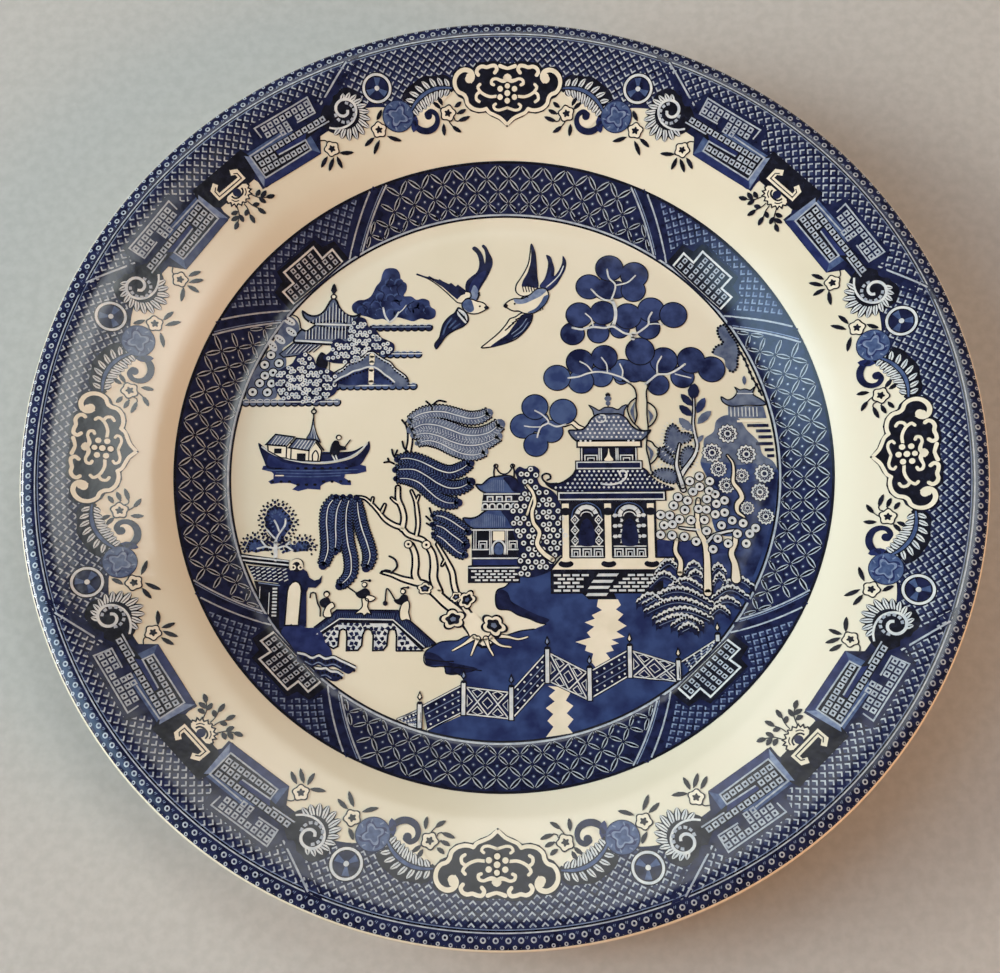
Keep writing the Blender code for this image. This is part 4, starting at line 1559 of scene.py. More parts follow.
def bridge_deck(piece):
    """The deck and the three arches under it."""
    deck = [
        (-51.8, -45.7), (-48.6, -43.2), (-45.8, -40.9), (-29, -41.1), (-26, -43.6), (-18.4, -50.4),
        (-21.9, -51.6), (-30.2, -44.2), (-45.1, -43.9), (-51.2, -48),
    ]
    outlined(piece, deck, "navy", 2, 0.45, False)
    for start, end, count in (
        ((-50.8, -46), (-45.8, -41.8), 12), ((-45.4, -41.7), (-29.4, -41.9), 30),
        ((-29, -42.1), (-19.4, -50.6), 22),
    ):
        for k in range(count):
            x = start[0] + (end[0] - start[0]) * k / count
            y = start[1] + (end[1] - start[1]) * k / count
            lines(piece, "mid", 4, 0.14, [(x, y), (x - 0.3, y - 1.6)])
    lines(
        piece, "light", 5, 0.32, [(-51, -47.6), (-45, -43.4), (-30.3, -43.7), (-21.6, -51.3)],
        curved=False,
    )
    lines(piece, "black", 4, 0.5, [(-51, -48.2), (-45, -44.1), (-30.1, -44.3), (-22, -51.7)], curved=False)
    spans = [(-45, -42.8), (-38.5, -35.6), (-31.6, -29.2)]
    under = [(-51, -48.6), (-45, -44.3), (-30, -44.5), (-22, -52.3), (-29.1, -52.3)]
    for left, right in reversed(spans):
        middle = (left + right) / 2
        under += [
            (right, -52.2), (right, -48), (middle + 0.9, -46.6), (middle, -46.2), (middle - 0.9, -46.6),
            (left, -48),
        ]
        under += [(left - 0.2, -50.8), (left - 1.2, -52.1)]
    under = under[:-2] + [(-45.2, -51), (-46.4, -51.6), (-48.4, -50.6)]
    loop = straight(under, True, 1.0)
    piece.add(fill(loop), "light", 1)
    piece.add(stroke(loop, 0.5, closed=True), "black", 3)
    cells = spots_within(loop, 1.55, 0.3, 0.14)
    for k, (x, y) in enumerate(cells):
        piece.add(
            moved(fill([(-0.5, -0.34), (0.42, -0.42), (0.5, 0.2), (-0.1, 0.48)]), x, y, 1.32, 73 * k),
            "navy", 2,
        )


def figure_with_crook(piece):
    """The first tiny figure, with a crook."""
    plain(piece, [
        (-50.6, -38.4), (-49.6, -37.6), (-48.4, -37.3), (-47.6, -38.4), (-47.2, -39.8), (-48.6, -40.4),
        (-50, -40),
    ], "black", 5)
    piece.add(disc(-48.7, -36.4, 0.95), "black", 5)
    piece.add(disc(-48.7, -36.6, 0.58), "cream", 6)
    lines(piece, "black", 5, 0.42, [
        (-53.2, -37.4), (-53, -36.2), (-51.9, -36.1), (-51.5, -37.4), (-51.1, -39), (-50.4, -40.4),
        (-50.3, -42.6),
    ])
    outlined(piece, [
        (-48.9, -40.2), (-47, -38.8), (-46.4, -40), (-47.4, -40.8), (-47.2, -42.8), (-48.4, -43),
        (-49.2, -42.8),
    ], "cream", 5, 0.35)


def figure_with_box(piece):
    """The second tiny figure, with a box."""
    plain(piece, [
        (-40.8, -36.4), (-39.4, -35.4), (-38, -34.8), (-36.9, -35.6), (-36.8, -37.2), (-38, -37.8),
        (-40, -37.4),
    ], "black", 5)
    piece.add(disc(-38.3, -33.9, 0.85), "black", 5)
    piece.add(disc(-38.4, -33.8, 0.52), "cream", 6)
    lines(
        piece, "black", 5, 0.42, [(-39.2, -33), (-38.4, -32.6), (-37.2, -32.8)],
        [(-43.2, -34.3), (-40.2, -36.4)],
    )
    piece.add(disc(-36.9, -32.7, 0.42, 10), "black", 5)
    outlined(piece, [(-37.8, -37), (-35.2, -37.7), (-36.4, -38.6), (-38, -38)], "cream", 6, 0.35)
    outlined(piece, [
        (-38.8, -37.6), (-38.8, -40), (-40.6, -42), (-38.8, -41.9), (-38.2, -42.6), (-37.4, -41.8),
        (-36.4, -42.2), (-37.3, -40), (-37.2, -38),
    ], "cream", 5, 0.35)


def figure_with_rod(piece):
    """The third tiny figure, with a rod."""
    plain(piece, [
        (-30.2, -38.2), (-28.8, -37.8), (-27.8, -36.7), (-26.6, -36.8), (-26.2, -38.6), (-27.6, -39.6),
        (-29.4, -39.2),
    ], "black", 5)
    piece.add(disc(-27.6, -35.8, 0.85), "black", 5)
    piece.add(disc(-27.7, -35.8, 0.5), "cream", 6)
    lines(
        piece, "black", 5, 0.42, [(-28.2, -35), (-27.4, -34.7), (-26.4, -34.8)],
        [(-29.6, -38.4), (-32.1, -35), (-32.5, -38.4)],
    )
    piece.add(disc(-26.3, -34.7, 0.42, 10), "black", 5)
    piece.add(disc(-32.5, -39.1, 0.7, 12), "black", 5)
    outlined(piece, [
        (-27.6, -39), (-26.2, -38.4), (-25.8, -39.6), (-26, -41.6), (-25.6, -44), (-26.6, -43.6),
        (-27.6, -44),
    ], "cream", 5, 0.35)


def bridge():
    """The bridge and the three figures on it."""
    piece = Print("bridge_and_figures")
    bridge_deck(piece)
    figure_with_crook(piece)
    figure_with_box(piece)
    figure_with_rod(piece)
    seal(piece)


def frond(piece, spine, width, inks, layer):
    """A drooping spray: a ribbon with a beaded edge, a light rib and slanting veins."""
    line = smooth(spine)
    body, vein, rib = inks
    widths = np.array([0.6, 0.9, 1, 1, 1, 0.8]) * width
    piece.add(stroke(line, widths), "black", layer)
    piece.add(stroke(line, widths - 0.6, round_ends=True), body, layer + 1)
    places, normal = even(line, 0.86)
    taper = np.interp(np.linspace(0, 1, len(places)), (0, 0.2, 0.85, 1), (0.65, 1, 1, 0.8))[:, None]
    onward = np.gradient(places, axis=0)
    onward /= np.linalg.norm(onward, axis=1)[:, None]
    for side in (-1, 1):
        edge = places + normal * side * (width / 2 - 0.1) * taper
        piece.add(scatter(disc(0, 0, 0.44, 9), edge), "black", layer)
        piece.add(scatter(disc(0, 0, 0.17, 6), edge - normal * side * 0.22), vein, layer + 2)
        inner = places + normal * side * width * 0.12 * taper
        outer = places + normal * side * width * 0.34 * taper + onward * 0.42
        piece.add(dashes(inner, outer, 0.2), vein, layer + 2)
    piece.add(stroke(line[2:-2], [0.2, 0.32, 0.32, 0.2]), rib, layer + 3)


def willow():
    """The willow: its limbs, sprays, roots and the flowers on its trunk."""
    piece = Print("willow_tree")
    dark, grey = ("navy", "mid", "light"), ("slate", "pale", "light")
    sprays = (
        (grey, 3.6, [
            (-26.6, 13.8), (-24.4, 15.4), (-21, 16.4), (-17, 16.4), (-13, 15.3), (-9.4, 14.4),
            (-6.4, 14.8), (-4.2, 16),
        ]),
        (grey, 4.2, [
            (-26.4, 11), (-23, 12.6), (-19, 12.4), (-15, 11), (-11.4, 9.6), (-7.4, 9.3), (-4, 10.2),
            (-1, 12.6),
        ]),
        (grey, 3.4, [
            (-25.6, 9.4), (-22, 10), (-18.4, 9.2), (-14.4, 7.4), (-10.8, 6.4), (-7.6, 6.4), (-4.6, 7.2),
            (-1.4, 9),
        ]),
        (
            grey, 3.0,
            [(-24.4, 7), (-21.4, 7.8), (-18, 7), (-14.6, 5.2), (-11.2, 3.8), (-8, 3.5), (-5.2, 4.4)],
        ),
        (dark, 3.6, [
            (-30, 2.2), (-27.5, 2.6), (-24, 1.9), (-21, 0.5), (-18, -1), (-15, -1.7), (-12, -0.7),
            (-9.4, 1.1),
        ]),
        (dark, 3.8, [
            (-30.4, -0.8), (-28, -0.6), (-25, -0.8), (-21.6, -2.6), (-18.4, -4.8), (-15, -6.2), (-12, -6),
            (-9.2, -4.5),
        ]),
        (dark, 3.4, [
            (-30.2, -3.4), (-27, -3.4), (-24, -4.4), (-21, -7), (-18.4, -9.2), (-15.6, -10.5),
            (-12.6, -10.5),
        ]),
        (dark, 3.0, [(-19.8, -14.2), (-17.4, -14.4), (-14.8, -15.6), (-12.2, -17.4), (-9.8, -19)]),
        (dark, 3.4, [(-19.8, -16.8), (-17, -17.6), (-14.4, -19.6), (-12, -21.4), (-10.4, -22.8)]),
        (dark, 2.8, [(-19.6, -19.4), (-17, -20.8), (-14.6, -23), (-12.4, -24.8), (-10.6, -25.6)]),
        (dark, 3.4, [(-47, -8.6), (-48.8, -11), (-49.4, -15), (-49, -20), (-48.8, -24.4), (-50, -28.4)]),
        (dark, 3.2, [(-45, -8.6), (-46.4, -12), (-46.8, -17), (-46.6, -21), (-46.8, -24.4)]),
        (dark, 3.4, [
            (-43, -8.6), (-43.8, -12), (-43.9, -17), (-43.3, -22), (-42.2, -27), (-42.4, -31),
            (-45.2, -34.2),
        ]),
        (dark, 3.4, [(-41, -9.2), (-40.6, -13), (-39.4, -18), (-37.8, -22.4), (-37, -26), (-38, -29.2)]),
    )
    limbs = (
        ([
            (-41.4, -8.6), (-39, -9), (-37, -10.6), (-35, -12.8), (-33, -15.2), (-30.6, -16.8),
            (-28.2, -17.8), (-26.8, -19.4), (-24.6, -20.4), (-22.4, -21.2), (-21.2, -22.4),
        ], [0.2, 0.4, 0.8, 1.0, 0.9]),
        ([(-28.2, -18), (-27.8, -14.6), (-28.4, -12), (-29.4, -9.6), (-29.6, -6)], [1.1, 1.0, 0.9]),
        ([(-29, -10.6), (-30.2, -10), (-31.4, -9)], [0.7, 0.1]),
        ([(-24.3, -20.2), (-23.8, -17), (-24.1, -13), (-24.6, -10), (-25.8, -7)], [0.6, 0.7, 0.2]),
        ([(-24.5, -10.4), (-23.7, -8.4)], [0.5, 0.1]), ([(-34, -13), (-33.2, -11)], [0.6, 0.3]),
        ([(-37, -10.8), (-36.6, -9)], [0.3, 0.2]),
        ([(-25.6, -22.6), (-24.6, -25), (-24.3, -28), (-24.4, -31.4), (-23.4, -33.4)], [1.0, 1.3, 1.4]),
        ([(-21.2, -22.6), (-19.8, -25), (-19.2, -28.6), (-19.3, -32), (-17.8, -36)], [1.0, 1.6, 1.8]),
        ([
            (-18.4, -22.4), (-17, -24.8), (-15.6, -27.4), (-14.2, -30.4), (-13.6, -34), (-12.6, -37.2),
            (-10.6, -40.6), (-8.6, -43.4),
        ], [0.3, 1.0, 1.1, 1.3]),
        ([(-16.2, -27), (-17, -28.4)], [0.4, 0.1]),
        ([(-26.9, 4.4), (-26.4, 8), (-26.6, 11), (-27.2, 13)], [1.0, 0.7]),
        ([
            (-33.4, -30.4), (-31, -31), (-28, -32.2), (-25, -33), (-22, -33.8), (-19, -36), (-16, -38.8),
            (-13, -41.2), (-10.4, -43.8), (-7.6, -46.6), (-5, -48.6),
        ], [0.3, 0.8, 1.4, 1.9, 2.2, 2.4, 3.2, 5.4]),
    )
    for path, widths in limbs:
        piece.add(stroke(smooth(path), np.array(widths) + 1.1, round_ends=True), "black", 1)
    for path, widths in limbs:
        piece.add(stroke(smooth(path), np.array(widths) * 0.9, round_ends=True), "cream", 2)
    foot = [
        (-11, -44), (-8.6, -41.8), (-4.6, -45.6), (-1.4, -48), (-3, -49.3), (-5.4, -49), (-8.4, -49.3),
        (-9.6, -47.2),
    ]
    plain(piece, foot, "cream", 4.4)
    for number, (ink, width, spine) in enumerate(sprays):
        frond(piece, spine, width * 1.14, ink, 3 + 0.4 * (number % 4))
    lines(
        piece, "black", 3, 0.6, [(-31, -30.6), (-29.4, -28.6), (-30, -26.8), (-31.6, -25.8)],
        [(-34, -30.6), (-32.6, -29.8), (-31.4, -30)], [(-31.5, 5.2), (-31, 3.4), (-30.2, 2.4)],
        [(-30, 5), (-30.6, 3.4)], [(-33.6, 1.4), (-32.2, 1.6), (-30.8, 1)], [(-32.6, 2.6), (-32.2, 1.6)],
        [(-28.8, 14), (-27.4, 12), (-26.8, 10)], [(-28.6, 7.6), (-28, 5.6), (-27, 4.6)],
        [(-22, 19.6), (-20.6, 18.2), (-20.2, 17)], [(-20.4, 18.2), (-18.4, 19.8), (-16.4, 19.4)],
        [(-20.6, -12), (-20.2, -13.4)], [(-21.6, -14.4), (-20.4, -15.6)], [(-21.4, -16.4), (-20.2, -17.2)],
    )
    for x, y, radius in ((-26.4, -22.4, 1.3), (-21.4, -22.6, 1.4)):
        piece.add(disc(x, y, radius), "black", 6)
        piece.add(ring(x, y, radius - 0.35, 0.4), "cream", 7)
    for root in (
        [(-8, -48.6), (-10.6, -50.4), (-13.9, -52.3)], [(-7, -49), (-8, -51.4), (-8.8, -53.6)],
        [(-4.8, -49), (-4, -51.4), (-2.8, -53.6)], [(-3.4, -48.8), (-1, -50.8), (2, -51.4)],
        [(-3, -48.2), (1.4, -48.6), (4, -49.2), (6.6, -48.6)],
    ):
        piece.add(stroke(smooth(root), [1.9, 1.0, 0.7], round_ends=True), "black", 3.6)
        piece.add(stroke(smooth(root), [1.1, 0.5, 0.35], round_ends=True), "cream", 4.2)
    for x, y, size, turn in (
        (-13.8, -43.6, 1, 10), (-2.6, -45.4, 1.05, -30), (-10, -38.2, 0.8, 50), (-21.6, -35, 0.62, 0),
        (-13, -37.4, 0.5, 30),
    ):
        for outline, ink, layer in (
            (petalled(3.5, 5), "black", 6), (petalled(2.85, 5), "cream", 7),
            (lobed(1.75, 5, 0.12), "black", 8), (lobed(0.7, 5, 0.1), "slate", 9),
        ):
            piece.add(moved(fill(outline * size * (1.12, 0.88)), x, y, 1, turn), ink, layer)
    seal(piece)


def water():
    """The water, its shores and the pale reflections."""
    piece = Print("water_and_ground")
    shore = [
        (-1.6, -40.6), (-2.2, -38), (-1.6, -35.4), (0.4, -34.6), (2.2, -32.8), (6, -31.4), (12, -29),
        (14, -30.6), (43, -30.6), (44, -24), (48, -22.4), (54, -21), (62, -22), (70, -18.4), (74.4, -14.6),
    ]
    foot = [
        (-20.6, -74), (-11, -69.8), (-11, -59.4), (-13, -58.5), (-15.6, -58.5), (-16, -56.8), (-19, -56.7),
        (-21.2, -56), (-21.3, -52.6), (-19.4, -51.2), (-17.4, -50), (-15, -49.6), (-12.6, -49.5),
        (-10.4, -48.4), (-5, -48.8), (0.6, -48.1), (4.6, -46.9), (8.4, -46.4), (11.6, -45.1), (9.2, -44.5),
        (7, -43.5), (4, -42.5), (1.8, -41.2),
    ]
    piece.add(fill(straight(shore + arc_points(101.5, 195.6) + foot, True, 1.0), spacing=1.5), "water", 0)
    lines(piece, "black", 3, 0.35, foot[2:18], foot[18:] + shore[:8])
    plain(piece, [
        (-1.7, -40.5), (-2.1, -37.4), (-1.2, -35.3), (1, -36), (2.2, -38.6), (4.4, -40), (7, -41.4),
        (9.6, -42.6), (12.6, -44), (11, -45), (7, -43.4), (4, -42.4), (1.6, -41),
    ], "navy", 1)
    plain(piece, [
        (-21.2, -52.8), (-18, -53.4), (-16, -55), (-12, -56), (-7, -57.4), (-11, -58.6), (-15.6, -58.4),
        (-16, -56.6), (-21, -55.9),
    ], "navy", 1)
    lines(
        piece, "black", 2, 0.3, [(-16, -56.6), (-12, -57), (-6, -57.8)],
        [(-21, -54.6), (-17, -55.2), (-13.6, -55.2)],
    )
    for reflection in (
        [
            (26, -38.2), (25.6, -40.2), (27, -41.2), (24.2, -42.6), (25, -43.6), (22.2, -44.6),
            (24.8, -45.8), (22.8, -47.4), (23.8, -48.8), (19.6, -50), (22.6, -51), (22.2, -52.4),
            (24.4, -53.2), (23.8, -55.4), (25, -57), (29, -54.6), (27.8, -53), (30, -52.4), (29.2, -51),
            (31.4, -50.4), (29.4, -49.4), (33, -48.6), (30.8, -47.2), (33.6, -45.6), (31.2, -44),
            (32.8, -42.4), (30.8, -41), (32.2, -39.8), (31.4, -38.2),
        ],
        [
            (12, -62), (14, -63.2), (12.2, -64.8), (13.8, -66.2), (11.4, -68), (13.4, -69.6),
            (11.8, -71.4), (13.4, -73), (11.4, -75.8), (18.6, -74.8), (17.2, -73), (18.8, -71),
            (17, -69.4), (18.8, -67.4), (16.8, -66), (18, -64), (16.6, -62.4),
        ],
    ):
        piece.add(fill(straight(reflection, True, 1.0), spacing=3), "cream", 1)
    seal(piece)


def hump(piece, start, end, low, peak, layer):
    """One of the rocks: a scalloped light ridge over a dark, dotted band."""
    count = max(5, round((end - start) / 1.35))
    share = np.linspace(0, 1, count + 1)
    top = low + (peak - low) * np.sin(np.pi * share) ** 1.15
    points = []
    for k in range(count):
        x0, x1 = start + (end - start) * share[k], start + (end - start) * share[k + 1]
        points += [(x0, top[k]), ((x0 + x1) / 2, (top[k] + top[k + 1]) / 2 + 0.5)]
    points.append((end, top[-1]))
    ridge = smooth(points)
    band = np.vstack([ridge, ridge[::-1] - (0, 2.4)])
    piece.add(fill(band), "navy", layer)
    piece.add(stroke(ridge + (0, 0.3), 0.3), "black", layer + 0.5)
    piece.add(stroke(ridge - (0, 0.25), [0.3, 0.8, 0.8, 0.8, 0.3]), "light", layer + 1)
    piece.add(scatter(disc(0, 0, 0.34, 8), even(ridge - (0, 0.72), 0.95)[0]), "black", layer + 1.5)
    lines(piece, "wash", layer + 1, 0.16, [tuple(p) for p in (ridge - (0, 1.5))[3:-3:6]])


def rocks():
    """The heap of scalloped rocks at the right."""
    piece = Print("rocks")
    for number, (start, end, low, peak) in enumerate((
        (60, 69, -34.8, -32), (49.6, 55.4, -31, -27.6), (57, 61.4, -31, -28.4), (50, 55.8, -33.6, -30),
        (57.4, 61.6, -34.4, -31), (41.6, 49.4, -31.4, -27), (39.6, 49, -34.8, -30.6),
        (43.6, 56.4, -36.4, -32.4), (57, 67.6, -38, -34.6), (38, 57.8, -39.4, -35), (57.6, 65, -40, -37.6),
        (36.4, 44, -39, -36.6), (38.4, 57.6, -41.4, -38), (56.4, 62, -42.4, -40),
        (40.6, 57.4, -43.6, -40.6), (41.6, 54.6, -44.8, -42.6), (45.6, 54.6, -45.6, -43.2),
        (47.6, 53.2, -46.8, -45),
    )):
        hump(piece, start, end, low, peak, 2 + 0.35 * number)
    seal(piece)


def fence():
    """The zigzag fence and its posts."""
    piece = Print("fence")
    black, pale = "black", "light"

    def panel(top_left, top_right, bottom_right, bottom_left, pattern):
        corners = np.array([top_left, top_right, bottom_right, bottom_left], float)
        piece.add(fill(corners), "navy", 2)

        def spot(u, v):
            top = corners[0] + (corners[1] - corners[0]) * u
            low = corners[3] + (corners[2] - corners[3]) * u
            return tuple(top + (low - top) * v)

        for v in (0.03, 0.97):
            lines(piece, black, 3, 0.75, [spot(0, v), spot(1, v)])
            lines(piece, pale, 4, 0.34, [spot(0, v), spot(1, v)])
        if pattern == "dots":
            for v in (0.36, 0.66):
                lines(piece, "wash", 4, 0.22, [spot(0.02, v), spot(0.98, v)])
            spots = [spot(u, v) for v in (0.2, 0.5, 0.82) for u in (0.12, 0.34, 0.56, 0.78, 0.94)]
            piece.add(scatter(disc(0, 0, 0.3, 8), spots), pale, 4)
        else:
            for u in (0, 0.5):
                lines(
                    piece, pale, 4, 0.34, [spot(u, 0.06), spot(u + 0.5, 0.94)],
                    [spot(u, 0.94), spot(u + 0.5, 0.06)],
                )
            for u, v in (
                (0.25, 0.14), (0.75, 0.14), (0, 0.5), (0.5, 0.5), (1, 0.5), (0.25, 0.86), (0.75, 0.86),
            ):
                half_u, half_v = 0.13, 0.2
                loop = [
                    spot(min(1, max(0, u + a)), min(0.95, max(0.05, v + b)))
                    for a, b in ((-half_u, 0), (0, half_v), (half_u, 0), (0, -half_v))
                ]
                lines(piece, pale, 4, 0.22, loop + loop[:1], curved=False)

    panel((-28.6, -70.9), (-23.2, -68.4), (-23.2, -73.2), (-25, -72.6), "dots")
    panel((-21.8, -67.2), (-11.6, -61.8), (-11.6, -69.5), (-20.4, -74), "dots")
    panel((-9.8, -62.1), (1.2, -63.5), (1.2, -71), (-9.8, -69.8), "diamonds")
    panel((2.9, -62.4), (11, -53.4), (11, -61.4), (2.9, -70.4), "dots")
    panel((12.8, -53), (22.4, -58), (22.4, -65.8), (12.8, -61.2), "diamonds")
    panel((24.2, -57.5), (33.4, -52.4), (33.4, -59.8), (24.2, -65.2), "dots")
    panel((35.3, -52.4), (46.6, -56), (46.6, -61), (35.3, -59.8), "diamonds")
    panel((48.3, -55.4), (58, -49.4), (56.4, -52.2), (50.4, -58), "dots")
    for x, low, high in (
        (-22.6, -73.3, -66.9), (-10.8, -69.8, -61.2), (2.1, -71.2, -62.4), (11.9, -61.2, -52),
        (23.3, -66, -57.2), (34.3, -59.8, -51.2), (47.4, -60.6, -55.2), (58.3, -50, -48.2),
    ):
        piece.add(box(x - 0.85, low - 0.25, x + 0.85, high + 0.25), black, 5)
        piece.add(box(x - 0.5, low, x + 0.5, high), pale, 6)
        piece.add(disc(x, high + 0.4, 0.75, 16, 0.6), black, 6)
        for size, ink, layer in ((1.0, black, 6), (0.5, "cream" if -15 > x or x > 30 else "wash", 7)):
            drop = np.array([
                (0, -1.3), (0.75, -0.3), (0.45, 0.6), (0, 1.7), (-0.45, 0.6), (-0.75, -0.3),
            ]) * size + (x, high + 2.1)
            piece.add(fill(drop), ink, layer)
    seal(piece)


def ringed(piece, places, radius, layer, hole=0.38):
    """Light rings, each on a dark disc."""
    piece.add(scatter(disc(0, 0, radius + 0.3, 16), places), "black", layer)
    piece.add(scatter(ring(0, 0, radius, radius * hole, 16), places), "light", layer + 1)


def small_pagoda():
    """The small pagoda between the willow and the main one."""
    piece = Print("small_pagoda")
    lines(piece, "black", 2, 0.5, [(-2.6, -3), (-2.6, -0.8), (-2.2, 0.3)], [(3, -3), (3, -0.8), (2.6, 0.3)])
    for x in (-2.1, 2.6):
        piece.add(ring(x, 0.2, 0.75, 0.35), "black", 2)
    lines(piece, "black", 2, 0.45, [(-1.8, -0.6), (-1, -1.8), (0.2, -2.2), (1.4, -1.8), (2.3, -0.6)])
    outlined(piece, [
        (-7.7, -5.2), (-6, -5.2), (-4.9, -4.2), (-3.6, -3.2), (-2, -2.9), (2.4, -2.9), (4, -4.2),
        (4.7, -6), (4.5, -7.5), (-5.4, -7.5), (-6.8, -6.6),
    ], "cloud", 2, 0.5)
    outlined(piece, [
        (-11.2, -15), (-9, -15), (-7, -14.4), (-5.8, -13.4), (-4.8, -12.8), (3.8, -12.8), (3.8, -17.7),
        (-8.8, -17.7), (-10.2, -16.8),
    ], "cloud", 2, 0.5)
    for x in np.arange(-5.4, 0.2, 0.55):
        lines(piece, "wash", 4, 0.16, [(x, np.interp(x, (-5.4, -3, 0), (-5.6, -3.8, -4))), (x, -7.2)])
    for x in np.arange(-9, 0.4, 0.55):
        lines(piece, "wash", 4, 0.16, [(x, np.interp(x, (-9, -5, 0), (-15.8, -13.6, -14.6))), (x, -17.4)])
    plain(piece, [(0, -3.2), (2.4, -3.2), (4, -4.6), (4.4, -7.4), (3, -7.4), (1.4, -5.4)], "navy", 4)
    plain(piece, [(-0.6, -13), (3.6, -13), (3.6, -17.4), (2.4, -17.4), (1, -15.2)], "navy", 4)
    plain(piece, [(-5.6, -7.6), (4.8, -7.6), (4.8, -12.8), (-6.2, -12.8)], "black", 2, False)
    lines(
        piece, "light", 4, 0.36, [(-5.4, -8), (4.6, -8)], [(-5.8, -10.2), (4, -10.2)],
        [(-6, -12.4), (3.8, -12.4)],
    )
    for x in (-3.7, -1.1, 1.5):
        lines(
            piece, "light", 4, 0.42,
            [(x - 0.75, -10), (x - 0.75, -8.8), (x + 0.75, -8.8), (x + 0.75, -10)], curved=False,
        )
        piece.add(box(x - 0.25, -9.8, x + 0.25, -9.4), "wash", 4)
    for x in (-5.1, -3.1, -1.0, 1.1, 3):
        lines(
            piece, "light", 4, 0.42,
            [(x - 0.7, -12.2), (x - 0.7, -11.2), (x, -10.8), (x + 0.7, -11.2), (x + 0.7, -12.2)],
        )
    plain(piece, [
        (-8.8, -17.8), (3.8, -17.8), (4.2, -24), (4.6, -33.5), (-9.8, -33.5), (-9.8, -28.6), (-8.8, -28.4),
    ], "black", 2, False)
    lines(
        piece, "light", 4, 0.4, [(-8.8, -18.4), (3.4, -18.4)], [(-8.6, -24), (-4, -24)],
        [(1.4, -24), (4, -24)], [(-8.6, -26.5), (4.2, -26.5)], [(-9.5, -29.2), (4.4, -29.2)],
    )
    lines(
        piece, "light", 4, 0.24,
        *[[(x, -18.6), (x, -25.4 if x > -5 else -23.8)] for x in (-8.2, -7.6, -3.8, -3.4, 0.7, 1.1)]
    )
    piece.add(box(-8.4, -28.4, 4.2, -26.9), "deep", 3)
    piece.add(box(-2.9, -21.4, 0.3, -18.8), "cream", 3)
    lines(piece, "light", 5, 0.5, [
        (-2.9, -25.2), (-2.9, -22.8), (-2.2, -21.8), (-1.3, -21.5), (-0.4, -21.8), (0.3, -22.8),
        (0.3, -25.2),
    ])
    plain(piece, [(-2.3, -25.2), (-2.3, -23), (-1.3, -22.1), (-0.3, -23), (-0.3, -25.2)], "mid", 4)
    for x in (-5.7, 2.7):
        lines(
            piece, "light", 4, 0.3,
            [(x - 1.1, -23.6), (x - 1.1, -21.6), (x + 1.1, -21.6), (x + 1.1, -23.6)], curved=False,
        )
        lines(
            piece, "light", 4, 0.3,
            [(x - 0.6, -23.6), (x - 0.6, -22.4), (x + 0.6, -22.4), (x + 0.6, -23.6)], curved=False,
        )
    for row in range(4):
        for k in range(7):
            x = -8.9 + 2.1 * k + 1.05 * (row % 2)
            if x < 3:
                piece.add(box(x, -30.4 - 0.85 * row, x + 1.5, -29.9 - 0.85 * row), "light", 4)
    seal(piece)


def ring_leaf_tree():
    """The slender tree of ring leaves beside the small pagoda."""
    tree = Print("ring_leaf_tree")
    outline = [
        (3.4, -1), (4.6, 0), (6, -0.6), (8.6, 0.2), (10.2, -1.2), (9.6, -3.6), (10.6, -5.6), (12.6, -6.4),
        (14.6, -8), (15.8, -10.6), (16, -25.6), (14.4, -27), (13.6, -29.6), (10.6, -31.2), (7, -32),
        (4.4, -31.6), (3.8, -28), (4.2, -24), (3, -20), (2, -16), (1.8, -13), (3.4, -10), (4.6, -7.6),
        (4, -4),
    ]
    loop = smooth(outline, True)
    tree.add(fill(loop), "navy", 4)
    ringed(tree, spots_within(loop, 2.05, 0.6, 0.22), 0.72, 5, 0.42)
    limb(tree, [
        (6.8, -5.6), (8.2, -7.6), (8.8, -10.4), (8, -13.4), (8.4, -16.4), (10, -19), (9.4, -22.6),
        (11, -25), (13.6, -27),
    ], [0.7, 0.9, 1.2], 7)
    limb(tree, [(8.6, -8), (7.4, -11.4), (6.6, -14)], [0.3, 0.6], 7)
    seal(tree)


def dotted_roof(piece, outline, ink, layer, pitch=1.35):
    """A roof filled with light dots."""
    loop = smooth(outline, True)
    piece.add(fill(loop), ink, layer)
    piece.add(stroke(loop, 0.5, closed=True), "black", layer + 1)
    spots = spots_within(loop, pitch, 0.5)
    piece.add(scatter(disc(0, 0, 0.36, 6), spots), "light", layer + 1)
    return spots


def upper_roof(piece):
    """The finial and the upper roof."""
    piece.add(leaf((29.8, 20.4), (29.8, 22), 1.5), "black", 3)
    piece.add(leaf((29.8, 21), (29.8, 19.2), 2.1), "slate", 3)
    piece.add(box(29.6, 17, 30, 19.6), "black", 2)
    piece.add(disc(29.8, 18.7, 0.7, 12), "slate", 3)
    outlined(piece, [
        (24.4, 18.1), (26, 17.3), (27.2, 16.6), (28.6, 17.4), (31, 17.4), (32.6, 16.8), (33.8, 17.8),
        (35.2, 18.2), (34.4, 16.6), (34.2, 15), (25.8, 15), (25.4, 16.6),
    ], "slate", 2, 0.35)
    dotted_roof(piece, [
        (18.5, 10.5), (20.6, 10.7), (22.6, 11), (23.8, 12.2), (24.8, 13.8), (26.4, 15.2), (30, 15.5),
        (33.6, 15.2), (35, 14), (36.2, 12.2), (37.8, 10.8), (40, 10.3), (41.6, 10.6), (40.4, 8.8),
        (39.4, 7.8), (30, 7.6), (20.4, 7.7), (19.2, 9),
    ], "slate", 3)
    lines(
        piece, "light", 6, 0.4,
        [(26.2, 14.2), (26.8, 13.2), (28, 13), (29, 13.8), (28.8, 15), (27.6, 15.2)],
    )


